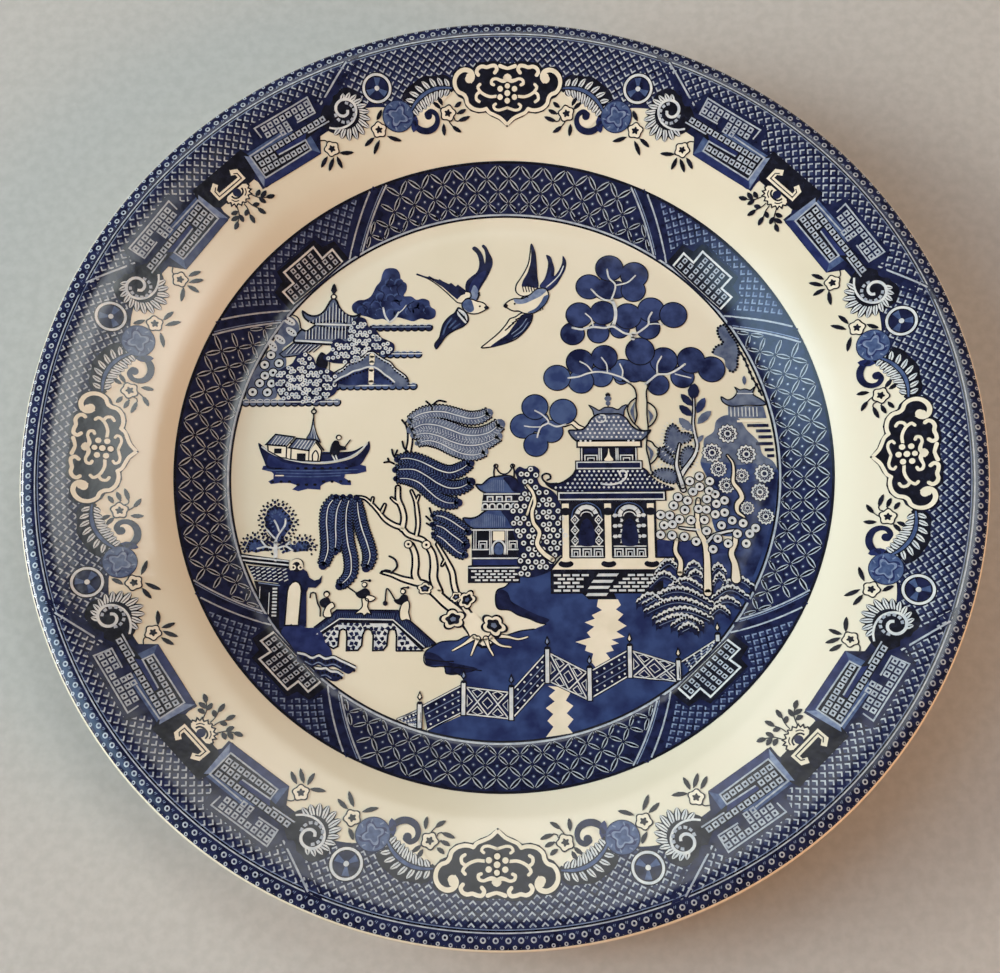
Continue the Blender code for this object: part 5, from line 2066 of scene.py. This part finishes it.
def upper_hall(piece):
    """The upper hall with its doors."""
    piece.add(box(20.6, 5.4, 39.2, 7.9), "black", 3)
    piece.add(box(21.1, 5.9, 38.6, 7.2), "cream", 5)
    piece.add(box(21.6, 1.4, 37.8, 5.6), "black", 3)
    lines(piece, "light", 5, 0.34, *[[(x, 5.2), (x, 1.8)] for x in (22.1, 27, 27.6, 31.8, 32.3, 37.4)])
    for x in (24.7, 34.7):
        lines(
            piece, "light", 5, 0.34, [(x - 1.7, 1.8), (x - 1.7, 3.2), (x + 1.7, 3.2), (x + 1.7, 1.8)],
            curved=False,
        )
        lines(
            piece, "light", 5, 0.3, [(x - 0.9, 1.8), (x - 0.9, 2.4), (x + 0.9, 2.4), (x + 0.9, 1.8)],
            curved=False,
        )
        piece.add(box(x - 1.9, 3.7, x + 1.9, 5.2), "navy", 4)
    plain(piece, [(29.7, 5.3), (30.1, 3.2), (31, 1.8), (28.4, 1.8), (29.3, 3.2)], "cream", 5)
    piece.add(box(20.2, -1.2, 39.2, 1.7), "black", 4)
    for inset, ink, layer in ((0.35, "light", 5), (0.7, "navy", 6)):
        piece.add(box(20.2 + inset, -1.2 + inset, 39.2 - inset, 1.7 - inset), ink, layer)


def lower_roof(piece):
    """The wide lower roof with its curled ends."""
    dotted_roof(piece, [
        (20.4, -1), (19.6, -2.4), (18, -3.8), (16, -4.9), (13.8, -5.2), (12, -5), (13, -6), (15.4, -7.2),
        (30, -7.3), (45, -7.2), (47.6, -6.8), (45.6, -5.8), (43.4, -4.8), (41.6, -3.2), (40, -1.2),
        (30, -0.9),
    ], "navy", 3)
    lines(piece, "black", 5, 0.55, [
        (15, -5), (12.6, -5), (11.2, -4), (10.9, -2.8), (11.9, -2.1), (13.1, -2.5), (13.2, -3.6),
        (12.3, -4),
    ])
    lines(piece, "light", 7, 0.55, [
        (33, -3), (32.6, -1.9), (33.6, -1.3), (34.6, -2), (34.2, -3.6), (32.4, -4.9), (30, -5.4),
        (27.6, -5.2),
    ])


def lower_hall(piece):
    """The pillars, doors and panels under the lower roof."""
    piece.add(box(15, -10.2, 45.6, -7.3), "black", 4)
    piece.add(box(15.35, -9.9, 45.1, -7.6), "light", 5)
    piece.add(box(15.75, -9.5, 44.7, -8), "navy", 6)
    piece.add(box(16, -26.4, 42.6, -10.2), "black", 3)
    for x in (17.3, 29.1, 41):
        piece.add(box(x - 0.95, -26.4, x + 0.95, -14.2), "cream", 5)
        piece.add(box(x - 0.95, -12.3, x + 0.95, -10.9), "cream", 5)
        piece.add(disc(x, -13.2, 1.5, 20, 0.75), "black", 6)
        piece.add(disc(x, -27, 1.5, 20, 0.45), "cream", 6)
        piece.add(disc(x, -28.2, 2.1, 20, 0.5), "black", 5)
        lines(piece, "black", 6, 0.3, [(x - 1.05, -26), (x - 1.05, -14)], [(x + 1.05, -26), (x + 1.05, -14)])
    for middle, diamonds in ((23.2, True), (35.1, False)):
        arch = [(-4.2, -15), (-3.6, -12.6), (-2, -11.2), (0, -10.7), (2, -11.2), (3.6, -12.6), (4.2, -15)]
        lines(piece, "mid", 4, 0.32, [(middle + x, y) for x, y in arch])
        for turn in (-62, -34, -11.5, 11.5, 34, 62):
            wedge = fill([(-0.45, 2.1), (0.45, 2.1), (0.72, 3.3), (-0.72, 3.3)])
            piece.add(moved(wedge, middle, -14.6, 1, turn), "light", 5)
        lines(
            piece, "light", 5, 0.3,
            [(middle + 1.7 * math.sin(a), -14.7 + 1.4 * math.cos(a)) for a in np.linspace(-1.4, 1.4, 7)],
        )
        plain(piece, [
            (middle - 1.8, -22.9), (middle - 1.8, -17.6), (middle - 1.1, -16), (middle, -15.2),
            (middle + 1.1, -16), (middle + 1.8, -17.6), (middle + 1.8, -22.9),
        ], "navy", 6)
        for side in (-1, 1):
            for y in (-15.6, -18.6, -21.6):
                x = middle + side * 3.3
                if diamonds:
                    loop = [(x - 1.05, y), (x, y + 1.3), (x + 1.05, y), (x, y - 1.3)]
                    lines(piece, "light", 5, 0.32, loop + loop[:1], curved=False)
                    piece.add(ring(x, y, 0.42, 0.2, 10), "light", 5)
                else:
                    piece.add(scatter(
                        disc(0, 0, 0.75, 6, 0.75),
                        [(x - 0.7, y + 1.2), (x + 0.6, y + 1.3), (x + side * -0.9, y - 0.2)],
                    ), "light", 5)
                    piece.add(disc(x, y - 0.1, 0.85, 8), "black", 6)
        lines(
            piece, "light", 5, 0.34, [(middle - 4.4, -23.2), (middle + 4.4, -23.2)],
            [(middle - 4.4, -26.1), (middle + 4.4, -26.1)],
        )
        for x in (middle - 3.1, middle, middle + 3.1):
            lines(
                piece, "light", 5, 0.4, [(x - 1.1, -26), (x - 1.1, -24), (x + 1.1, -24), (x + 1.1, -26)],
                curved=False,
            )
            lines(
                piece, "light", 5, 0.26,
                [(x - 0.5, -26), (x - 0.5, -24.8), (x + 0.5, -24.8), (x + 0.5, -26)], curved=False,
            )


def terrace(piece):
    """The terrace and its steps."""
    outlined(
        piece, [(15.8, -26.4), (47.4, -26.4), (47.4, -27.6), (44, -30), (13, -30)], "cream", 2, 0.5, False,
    )
    piece.add(box(13, -36.6, 44, -30), "black", 1)
    for row in range(5):
        for k in range(12):
            x = 13.9 + 2.55 * k + 1.1 * (row % 2)
            if x < 41.2 - 0.5 * row and not 22.4 - 0.5 * row < x < 32.2 - 0.8 * row:
                piece.add(box(x, -31.7 - 1.08 * row, x + 1.95, -31.1 - 1.08 * row), "light", 4)
    plain(
        piece, [(26, -30.4), (32.9, -30.4), (29.8, -35), (31, -38.2), (23.4, -38.2), (21.2, -36.2)],
        "black", 3, False,
    )
    for x, y in ((26.2, -31.4), (24.8, -33.2), (23.8, -34.9), (23.2, -36.9)):
        plain(
            piece, [(x, y + 0.45), (x + 5.6, y + 0.45), (x + 5, y - 0.35), (x - 0.6, y - 0.35)], "light",
            4, False,
        )


def main_pagoda():
    """The main pagoda."""
    piece = Print("main_pagoda")
    upper_roof(piece)
    upper_hall(piece)
    lower_roof(piece)
    lower_hall(piece)
    terrace(piece)
    seal(piece)


def cushion(piece, x, y, radius, inks, layer):
    """One round leaf with a dark edge."""
    piece.add(disc(x, y, radius, 36), inks[0], layer)
    piece.add(disc(x, y, radius - 0.32, 36), inks[1], layer + 0.4)


def round_leaf_tree():
    """The tall tree of round leaves behind the main pagoda."""
    piece = Print("round_leaf_tree")
    groups = (
        (
            (33, 53.6, 2.9), (29.6, 53.8, 3.5), (25, 54.6, 4), (37.8, 53.4, 3.7), (38.2, 58.2, 4.2),
            (31, 60.4, 4.2),
        ),
        (
            (33.6, 41.4, 3), (41.8, 41.6, 3.6), (20, 40, 3.6), (27.4, 40.2, 3.3), (22, 45.8, 4),
            (28.8, 46.4, 3.8), (42.8, 47.2, 4), (36, 45.3, 4.1), (49.2, 45.6, 4.1),
        ),
        (
            (33.8, 26.4, 2.2), (28, 27, 3.5), (34.2, 28.6, 3.6), (37.4, 28.6, 3.7), (40.4, 28.6, 3.6),
            (44.2, 24.2, 3.3), (51.2, 26.6, 3.5), (46, 31.6, 4.1), (53.8, 31.6, 4.1), (59.6, 28.8, 4),
            (22.2, 25.4, 3.8), (22, 31.2, 4.1), (29, 32.6, 3.9), (15.4, 26.5, 4), (39.3, 34.4, 4.3),
        ),
        (
            (9.8, 13.4, 3.4), (5.6, 12, 3.8), (13.6, 10.4, 3.5), (9.2, 6.4, 3.6), (9, 17.7, 3.9),
            (17, 16.2, 4),
        ),
    )
    for number, group in enumerate(groups):
        for step, (x, y, radius) in enumerate(group):
            faded = number == 3 or (number == 2 and x < 36 and y < 31)
            cushion(piece, x, y, radius, ("black", "cloud" if faded else "leaf"), 2 + 0.2 * step)
    for path, width in (
        ([(30.3, 60), (30.8, 57.4), (32.6, 55.2), (32.2, 52.6), (31.4, 50.6)], 0.5),
        ([(38.5, 58), (36.4, 56), (33, 55)], 0.45),
        ([(25.6, 53.8), (27.6, 51.6), (29.6, 50.4), (31.6, 50.2)], 0.5),
        ([(31.6, 50.4), (32.4, 48), (32.4, 44.6), (31.8, 42.4)], 0.95),
        ([
            (20, 41.8), (22.6, 41.3), (26, 42), (29.4, 41.7), (31.8, 42.1), (33.2, 41.2), (35, 40),
            (37.2, 39.6),
        ], 0.6),
        ([(23.8, 46.2), (25.4, 44.6), (26, 42.2)], 0.4),
        ([(43, 46.4), (42, 44.4), (42, 43), (40, 41), (38, 39.6)], 0.55),
        ([(46, 42.6), (43.6, 42.9), (42, 42.7)], 0.35), ([(22, 31.4), (24, 30.2), (25.4, 28.4)], 0.4),
        ([
            (18.6, 26.4), (21.6, 26.8), (24, 27.7), (26.4, 28.2), (29.6, 27.9), (32, 27.2), (34, 26.4),
            (36, 25),
        ], 0.5),
        ([(28.2, 32.6), (29.6, 30.4), (29.8, 28)], 0.4), ([(33.4, 30.6), (34.2, 28.4), (34, 26.8)], 0.4),
        ([(45.4, 32.8), (44.2, 30.6), (44, 27.6)], 0.45),
        ([(52, 30.4), (49.6, 28.6), (47, 27.4), (44, 27.2), (42.2, 25.8), (40.6, 24.4)], 0.6),
        ([(53.6, 26.2), (51.4, 26.8), (49.2, 27.4)], 0.35),
        ([(9, 16.6), (11, 15.4), (12.8, 13), (10.8, 11.8), (9.8, 9.6), (9.6, 8.6)], 0.45),
        ([(6, 12), (8, 11.7), (10.4, 11.7)], 0.35), ([(12.8, 12.8), (15, 11.8), (17.6, 12.4)], 0.5),
        ([(37.6, 39.8), (37.4, 38.4)], 1.2),
    ):
        piece.add(stroke(smooth(path), width, round_ends=True), "light", 7)
    limb(piece, [(17.2, 12.4), (19.6, 13), (21, 11.8), (23, 10.8)], 0.9, 1)
    lines(
        piece, "black", 6, 0.45,
        [(34, 25.6), (36, 24.6), (37.4, 23.2), (37.9, 21.4), (37.7, 18), (37.9, 14.6), (37.2, 12.4)],
        [
            (41.8, 24.6), (40.9, 22.6), (40.9, 19), (40.8, 15), (41, 11), (40.6, 8), (40.4, 5), (41, 2),
            (41.5, -1.4),
        ],
        [(37.6, 20.2), (36, 18.8), (35.3, 17), (35.7, 15), (36.6, 13.2), (37.6, 12)],
        [(41, 19), (42.4, 18), (43.2, 17), (43.6, 15.4), (43.1, 13.6), (41.8, 12), (41, 11.4)],
        [(40.5, 7.6), (42, 7), (42.8, 5.8), (44, 4.8), (43.4, 2.8), (42.2, 1.2), (41.2, 0.4)],
        [(37.9, 11.8), (39, 10.6), (40.8, 10.4)],
    )
    for leaf_points in (
        [(37.4, 19), (36.6, 16.4), (37.4, 13)], [(41.2, 16.6), (42, 14.8), (41.4, 12.8)],
        [(40.6, 6), (41.8, 4), (41.4, 1.6)],
    ):
        piece.add(stroke(smooth(leaf_points), [0.2, 1.1, 0.2]), "slate", 5)
    seal(piece)


def grove_masses(piece):
    """The dark masses behind the grove."""
    cloud = [
        (56.8, 8), (59.4, 10), (60.4, 13.4), (63.4, 15), (66.8, 13.8), (68.8, 10.6), (72, 7), (73.2, 3),
        (75.6, 1.4), (76.8, -1), (76.6, -6), (75.2, -14), (73.2, -20), (70.8, -27), (66.6, -35),
        (60.6, -38.6), (57.4, -38), (57.6, -26), (66, -24.6), (69, -20), (66, -17), (62.6, -12), (60, -8),
        (57, -3), (55.4, 1), (56.4, 4),
    ]
    loop = smooth(cloud, True, 1.0)
    piece.add(fill(loop, spacing=1.5), "slate", 1)
    middle = [
        (55.6, 1), (58, 0.6), (62, 1), (66, 0.2), (70, 0.6), (74, 0.4), (76.8, -1), (76.6, -6),
        (74.6, -16), (60, -20), (57, -3),
    ]
    piece.add(fill(smooth(middle, True, 1.0), spacing=1.5), "cloud", 1)
    lower = [
        (57.2, -2), (60, -3), (64, -4.6), (68, -5), (72, -4), (76.7, -2), (76.6, -6), (75.2, -14),
        (73.2, -20), (70.8, -27), (66.6, -35), (60.6, -38.6), (57.4, -38), (57.6, -26), (66, -24.6),
        (69, -20), (66, -17), (62.6, -12), (60, -7),
    ]
    piece.add(fill(smooth(lower, True, 1.0), spacing=1.5), "leaf", 2)
    plain(
        piece, [(42.8, -21.4), (46, -21.6), (54, -22.4), (60, -24), (66, -24.8), (66, -33), (42.8, -32)],
        "deep", 1,
    )


def rosettes(piece):
    """The round flowers with a ring of dots."""
    wave = np.arange(60) * math.tau / 60
    for x, y, radius in (
        (63.4, 9.4, 2.6), (58.8, 3.8, 2.6), (68.4, 3.3, 2.6), (60.4, -1, 2.2), (73.2, -2.4, 2.6),
        (66.8, -3, 2), (62.5, -5.8, 2.2), (71.7, -7.8, 2.4), (68, -12.4, 1.8), (73, -14.9, 2.2),
    ):
        for share, depth, ink, layer in (
            (1.08, 0.09, "black", 3), (0.98, 0.1, "light", 4), (0.74, 0.1, "navy", 5),
            (0.42, 0.0, "light", 6), (0.24, 0.0, "navy", 7),
        ):
            spread = radius * share * (1 + depth * np.cos(12 * wave))
            piece.add(fill(np.stack([x + spread * np.cos(wave), y + spread * np.sin(wave)], 1)), ink, layer)
        ticks = [
            (x + 0.58 * radius * math.cos(a), y + 0.58 * radius * math.sin(a))
            for a in np.arange(12) * math.tau / 12
        ]
        piece.add(scatter(disc(0, 0, 0.16, 6), ticks), "light", 6)
    limb(piece, [
        (63, 3), (64.4, 0.8), (64.6, -2), (64.4, -5), (66, -7.4), (66.6, -9.4), (65.2, -11.4),
        (65.2, -13.4), (67, -15),
    ], [0.2, 0.6, 1.0, 1.2, 0.4], 7)


def little_tower(piece):
    """The little tower beyond the grove."""
    piece.add(leaf((68.8, 24), (68.8, 26.9), 1.2), "slate", 3)
    outlined(piece, [
        (66, 23.3), (67.4, 22.5), (68.8, 22.8), (70.4, 22.4), (71.8, 23.5), (71, 21.4), (73, 19.8),
        (74.6, 18.4), (69, 17.9), (63.6, 18), (62.2, 19.2), (62, 20.4), (63.8, 19.5), (66, 20.8),
        (66.6, 22),
    ], "slate", 3, 0.4)
    lines(piece, "light", 5, 0.3, [(66.6, 21.4), (71, 21.4)])
    plain(piece, [(63.8, 17.6), (73.8, 17.6), (74.6, 14), (63.8, 14)], "slate", 3, False)
    lines(piece, "light", 5, 0.3, *[[(x, 17.2), (x, 14.6)] for x in np.arange(64.6, 72.6, 1.05)])
    piece.add(box(66.2, 12.8, 75.2, 13.4), "cream", 4)
    for x0, x1, y in (
        (69, 75, 11.8), (71.4, 75.6, 10.2), (72, 75.8, 8.4), (71.2, 76, 6.4), (73.6, 76.2, 4.6),
        (74.2, 76.2, 2.8),
    ):
        piece.add(box(x0, y - 0.45, x1, y + 0.45), "navy", 4)


def leafy_spray(piece):
    """The stem with pointed leaves."""
    stem = [
        (54.2, 20), (54.1, 16), (53.8, 12.4), (54.2, 9), (54.7, 6), (54, 3.4), (52.2, 0.6), (50.6, -1.6),
        (49.4, -4), (50.4, -7),
    ]
    limb(piece, stem, [0.2, 0.35, 0.6, 0.9, 1.2], 4, "light")
    for tip, stalk, width, ink in (
        ((54.6, 24.6), (54, 19.6), 3.4, "navy"), ((50.6, 21.4), (53.8, 17.8), 2.2, "navy"),
        ((50, 18), (53.6, 14.8), 2.4, "navy"), ((57.4, 20.2), (55, 15.6), 2.4, "leaf"),
        ((59, 16.2), (55, 12.4), 2.4, "slate"), ((49.8, 14.2), (53.8, 10.2), 2.6, "slate"),
        ((56.6, 9), (54.6, 6.6), 1.4, "slate"),
    ):
        piece.add(leaf(stalk, tip, width, 0.1), ink, 4)


def feathered_leaves(piece):
    """The leaves with a feathered edge."""
    feathered = (
        [
            (45.6, 5.2), (45.8, 8.6), (46.6, 11.2), (48, 12.4), (49.4, 11.2), (50.2, 9.8), (52, 9.8),
            (53.4, 8.6), (52.4, 7), (50.8, 6.6), (49.6, 5.6), (48.6, 3.6), (47, 3.4),
        ],
        [(49.8, 0.6), (50, 3.2), (51, 5.2), (52.8, 5.8), (54, 4.2), (53.6, 1.6), (52.2, -0.6), (50.6, -1)],
        [(43.4, 4.2), (44.6, 5.6), (46.4, 4.2), (48, 2.2), (48.6, 0), (46.6, 0.6), (44.4, 2)],
        [
            (41.6, -2.2), (43.6, -1), (46, -0.8), (48.2, -1.6), (49.2, -3.4), (48.4, -5), (45.6, -4.8),
            (43.4, -3.6),
        ],
    )
    for outline in feathered:
        loop = smooth(outline, True)
        piece.add(fill(loop), "slate", 3)
        places, normal = even(np.vstack([loop, loop[:1]]), 0.95)
        piece.add(scatter(disc(0, 0, 0.36, 8), places), "black", 4)
        piece.add(dashes(places + normal * 0.7, places + normal * 1.35, 0.24), "light", 4)
        piece.add(dashes(places + normal * -0.45, places + normal * -0.75, 0.3), "black", 4)
    limb(piece, [(49.7, 6.4), (49, 3), (48.7, 0), (49.4, -3), (50.2, -6)], [0.3, 0.7, 1.0], 6, "light")


def tall_ring_tree(piece):
    """The tree with ring leaves."""
    limb(
        piece,
        [(56.1, -36.4), (56.2, -31), (56.2, -26), (55.8, -22.4), (54.2, -18.6), (54, -14), (54.4, -10)],
        [2.0, 1.7, 1.4, 1.2, 0.8], 6,
    )
    limb(piece, [(48.6, -31), (48.9, -27.6), (47.6, -24.8), (48, -21.4)], [1.3, 1.0, 0.9], 6)
    limb(
        piece, [(64, -32.6), (63.8, -28.4), (63, -25.4), (64.2, -22.2), (64.4, -19)], [2.4, 1.4, 1.3, 1.0],
        6,
    )
    limb(piece, [(56.4, -22.2), (58.2, -20.4), (61, -19.4), (64, -18.8)], [0.8, 0.5], 6, "light")
    limb(piece, [(54.4, -18.6), (51.6, -18.4), (49, -18)], [0.6, 0.3], 6, "light")
    leaves = [
        (55, -3.2), (52.2, -4.6), (57.8, -4.6), (54.9, -6.2), (53, -7.6), (57.6, -7.4), (48.8, -9.2),
        (51.4, -10.2), (56.8, -9.8), (47.5, -11.6), (59.4, -11.2), (61.7, -10.2), (50.6, -12.9),
        (56.6, -12.8), (43.8, -14.3), (46.3, -14.5), (49, -15.6), (52.2, -15.9), (59, -14.2),
        (61.6, -13.7), (44.7, -17.3), (55.9, -15.8), (60.6, -17.4), (63.6, -16), (66.6, -16.8),
        (43.6, -20), (46.8, -20.2), (50.2, -20.6), (53.4, -22), (56.4, -19), (59.4, -21.2), (62.2, -22.6),
        (58, -24.2), (64.9, -19.8), (68.3, -19.8), (70, -18.2), (67.2, -22.6), (59.2, -8.4), (47, -17),
        (54.4, -12.6),
    ]
    ringed(piece, leaves, 1.2, 8, 0.36)


def hanging_vine(piece):
    """The foliage that the ring cuts off at the upper right."""
    vine = [
        (60.2, 33.6), (61.2, 35.8), (63.3, 36.9), (62.3, 38.4), (62, 41.6), (63.6, 42.4), (65.2, 39.8),
        (67.2, 36.4), (67.6, 34), (67.1, 31.6), (67, 29.6), (65.6, 28), (63.8, 29.4), (63.2, 32),
        (61.6, 32.8),
    ]
    loop = smooth(vine, True)
    piece.add(fill(loop), "slate", 1)
    piece.add(scatter(disc(0, 0, 0.42, 8), even(loop[:-12], 0.95)[0]), "black", 2)
    chain = [(67.6, 34.6), (69.2, 31.6), (70.2, 28.6), (71.2, 26), (72.4, 23.6), (73.6, 20.6)]
    piece.add(curve(chain, 0.5), "black", 2)
    piece.add(scatter(disc(0, 0, 0.55, 9), even(smooth(chain), 2.1)[0]), "black", 2)


def right_grove():
    """The grove at the right of the main pagoda."""
    piece = Print("right_grove")
    grove_masses(piece)
    rosettes(piece)
    little_tower(piece)
    leafy_spray(piece)
    feathered_leaves(piece)
    tall_ring_tree(piece)
    hanging_vine(piece)
    seal(piece)


# ---------------------------------------------------------------- stage, lights and camera


def stage():
    """The pale floor that the plate lies on."""
    floor = bpy.data.meshes.new("floor")
    half = 3.0  # metres
    floor.from_pydata(
        [(-half, -half, 0), (half, -half, 0), (half, half, 0), (-half, half, 0)], [], [(0, 1, 2, 3)],
    )
    floor.materials.append(shader(
        "pale_cloth", (178, 176, 170), (186, 184, 178), 3.0, roughness=0.9, ripple=0.1,
    ))
    obj = bpy.data.objects.new("floor", floor)
    bpy.context.scene.collection.objects.link(obj)


def area(name, place, size, radiance, colour, aimed=True):
    """A soft light that fades towards its edges, facing the plate or straight down."""
    light = bpy.data.lights.new(name, "AREA")
    light.shape = "ELLIPSE"
    light.size, light.size_y = size
    light.energy = radiance * math.pi * size[0] * size[1]
    light.color = colour
    light.use_nodes = True
    nodes, links = light.node_tree.nodes, light.node_tree.links
    where = nodes.new("ShaderNodeNewGeometry")
    away = nodes.new("ShaderNodeVectorMath")
    away.operation = "DISTANCE"
    away.inputs[1].default_value = (0.5, 0.5, 0)
    fade = nodes.new("ShaderNodeValToRGB")
    fade.color_ramp.interpolation = "EASE"
    bright, dark = fade.color_ramp.elements
    bright.position = 0.1
    bright.color = (1, 1, 1, 1)
    dark.position = 0.5
    dark.color = (0, 0, 0, 1)
    links.new(where.outputs["Parametric"], away.inputs[0])
    links.new(away.outputs["Value"], fade.inputs["Fac"])
    links.new(fade.outputs["Color"], nodes["Emission"].inputs["Strength"])
    obj = bpy.data.objects.new(name, light)
    obj.location = place
    if aimed:
        x, y, z = place
        obj.rotation_euler = (math.atan2(math.hypot(x, y), z), 0, math.atan2(-y, -x) - math.pi / 2)
    bpy.context.scene.collection.objects.link(obj)
    return obj


def lights():
    """The soft lights and the world."""
    area("low_window", (-1.9, 0.1, 0.75), (2.2, 1), 19.5, (0.95, 0.99, 0.98))
    area("sky", (-1.45, -0.1, 1.45), (1.9, 1.5), 3.2, (0.5, 0.76, 1))
    area("ceiling_above_top", (0.0, 2.3, 3), (5, 2), 1.9, (0.97, 1, 0.96), aimed=False)
    area("ceiling_above_right", (1.25, 0.75, 3), (1.6, 2.4), 3.7, (0.93, 1, 0.98), aimed=False)
    warm = area("warm_room", (1.2, -0.65, 0.55), (1.3, 0.9), 9.5, (1.0, 0.42, 0.14))
    warm.visible_glossy = False
    world = bpy.data.worlds.new("room")
    world.use_nodes = True
    nodes, links = world.node_tree.nodes, world.node_tree.links
    place = nodes.new("ShaderNodeTexCoord")
    split = nodes.new("ShaderNodeSeparateXYZ")
    ramp = nodes.new("ShaderNodeValToRGB")
    links.new(place.outputs["Generated"], split.inputs["Vector"])
    links.new(split.outputs["Z"], ramp.inputs["Fac"])
    steps = ramp.color_ramp.elements
    steps[0].position = 0.03
    steps[0].color = (1.0, 0.95, 0.9, 1)
    steps[1].position = 0.24
    steps[1].color = (0.1, 0.095, 0.09, 1)
    links.new(ramp.outputs["Color"], nodes["Background"].inputs["Color"])
    bpy.context.scene.world = world


def camera():
    """The camera, looking down on the plate from a little below its middle."""
    data = bpy.data.cameras.new("camera")
    data.sensor_width = 36.0
    data.lens = 55.8
    obj = bpy.data.objects.new("camera", data)
    obj.location = (0.0062, -0.1272, 0.4242)
    obj.rotation_euler = (math.radians(16.21), math.radians(0.98), 0.0)
    bpy.context.scene.collection.objects.link(obj)
    bpy.context.scene.camera = obj


glazed_body()
bare_clay()
edge_band()
rim_diaper()
medallions()
rim_scrolls()
rim_flowers()
key_panels()
cavetto_rings()
cavetto_lattice()
cavetto_scales()
cavetto_tiles()
water()
birds()
island_top_left()
boat()
gatehouse()
bridge()
willow()
fence()
small_pagoda()
ring_leaf_tree()
main_pagoda()
round_leaf_tree()
right_grove()
rocks()
stage()
lights()
camera()
bpy.context.scene.view_settings.view_transform = "Standard"
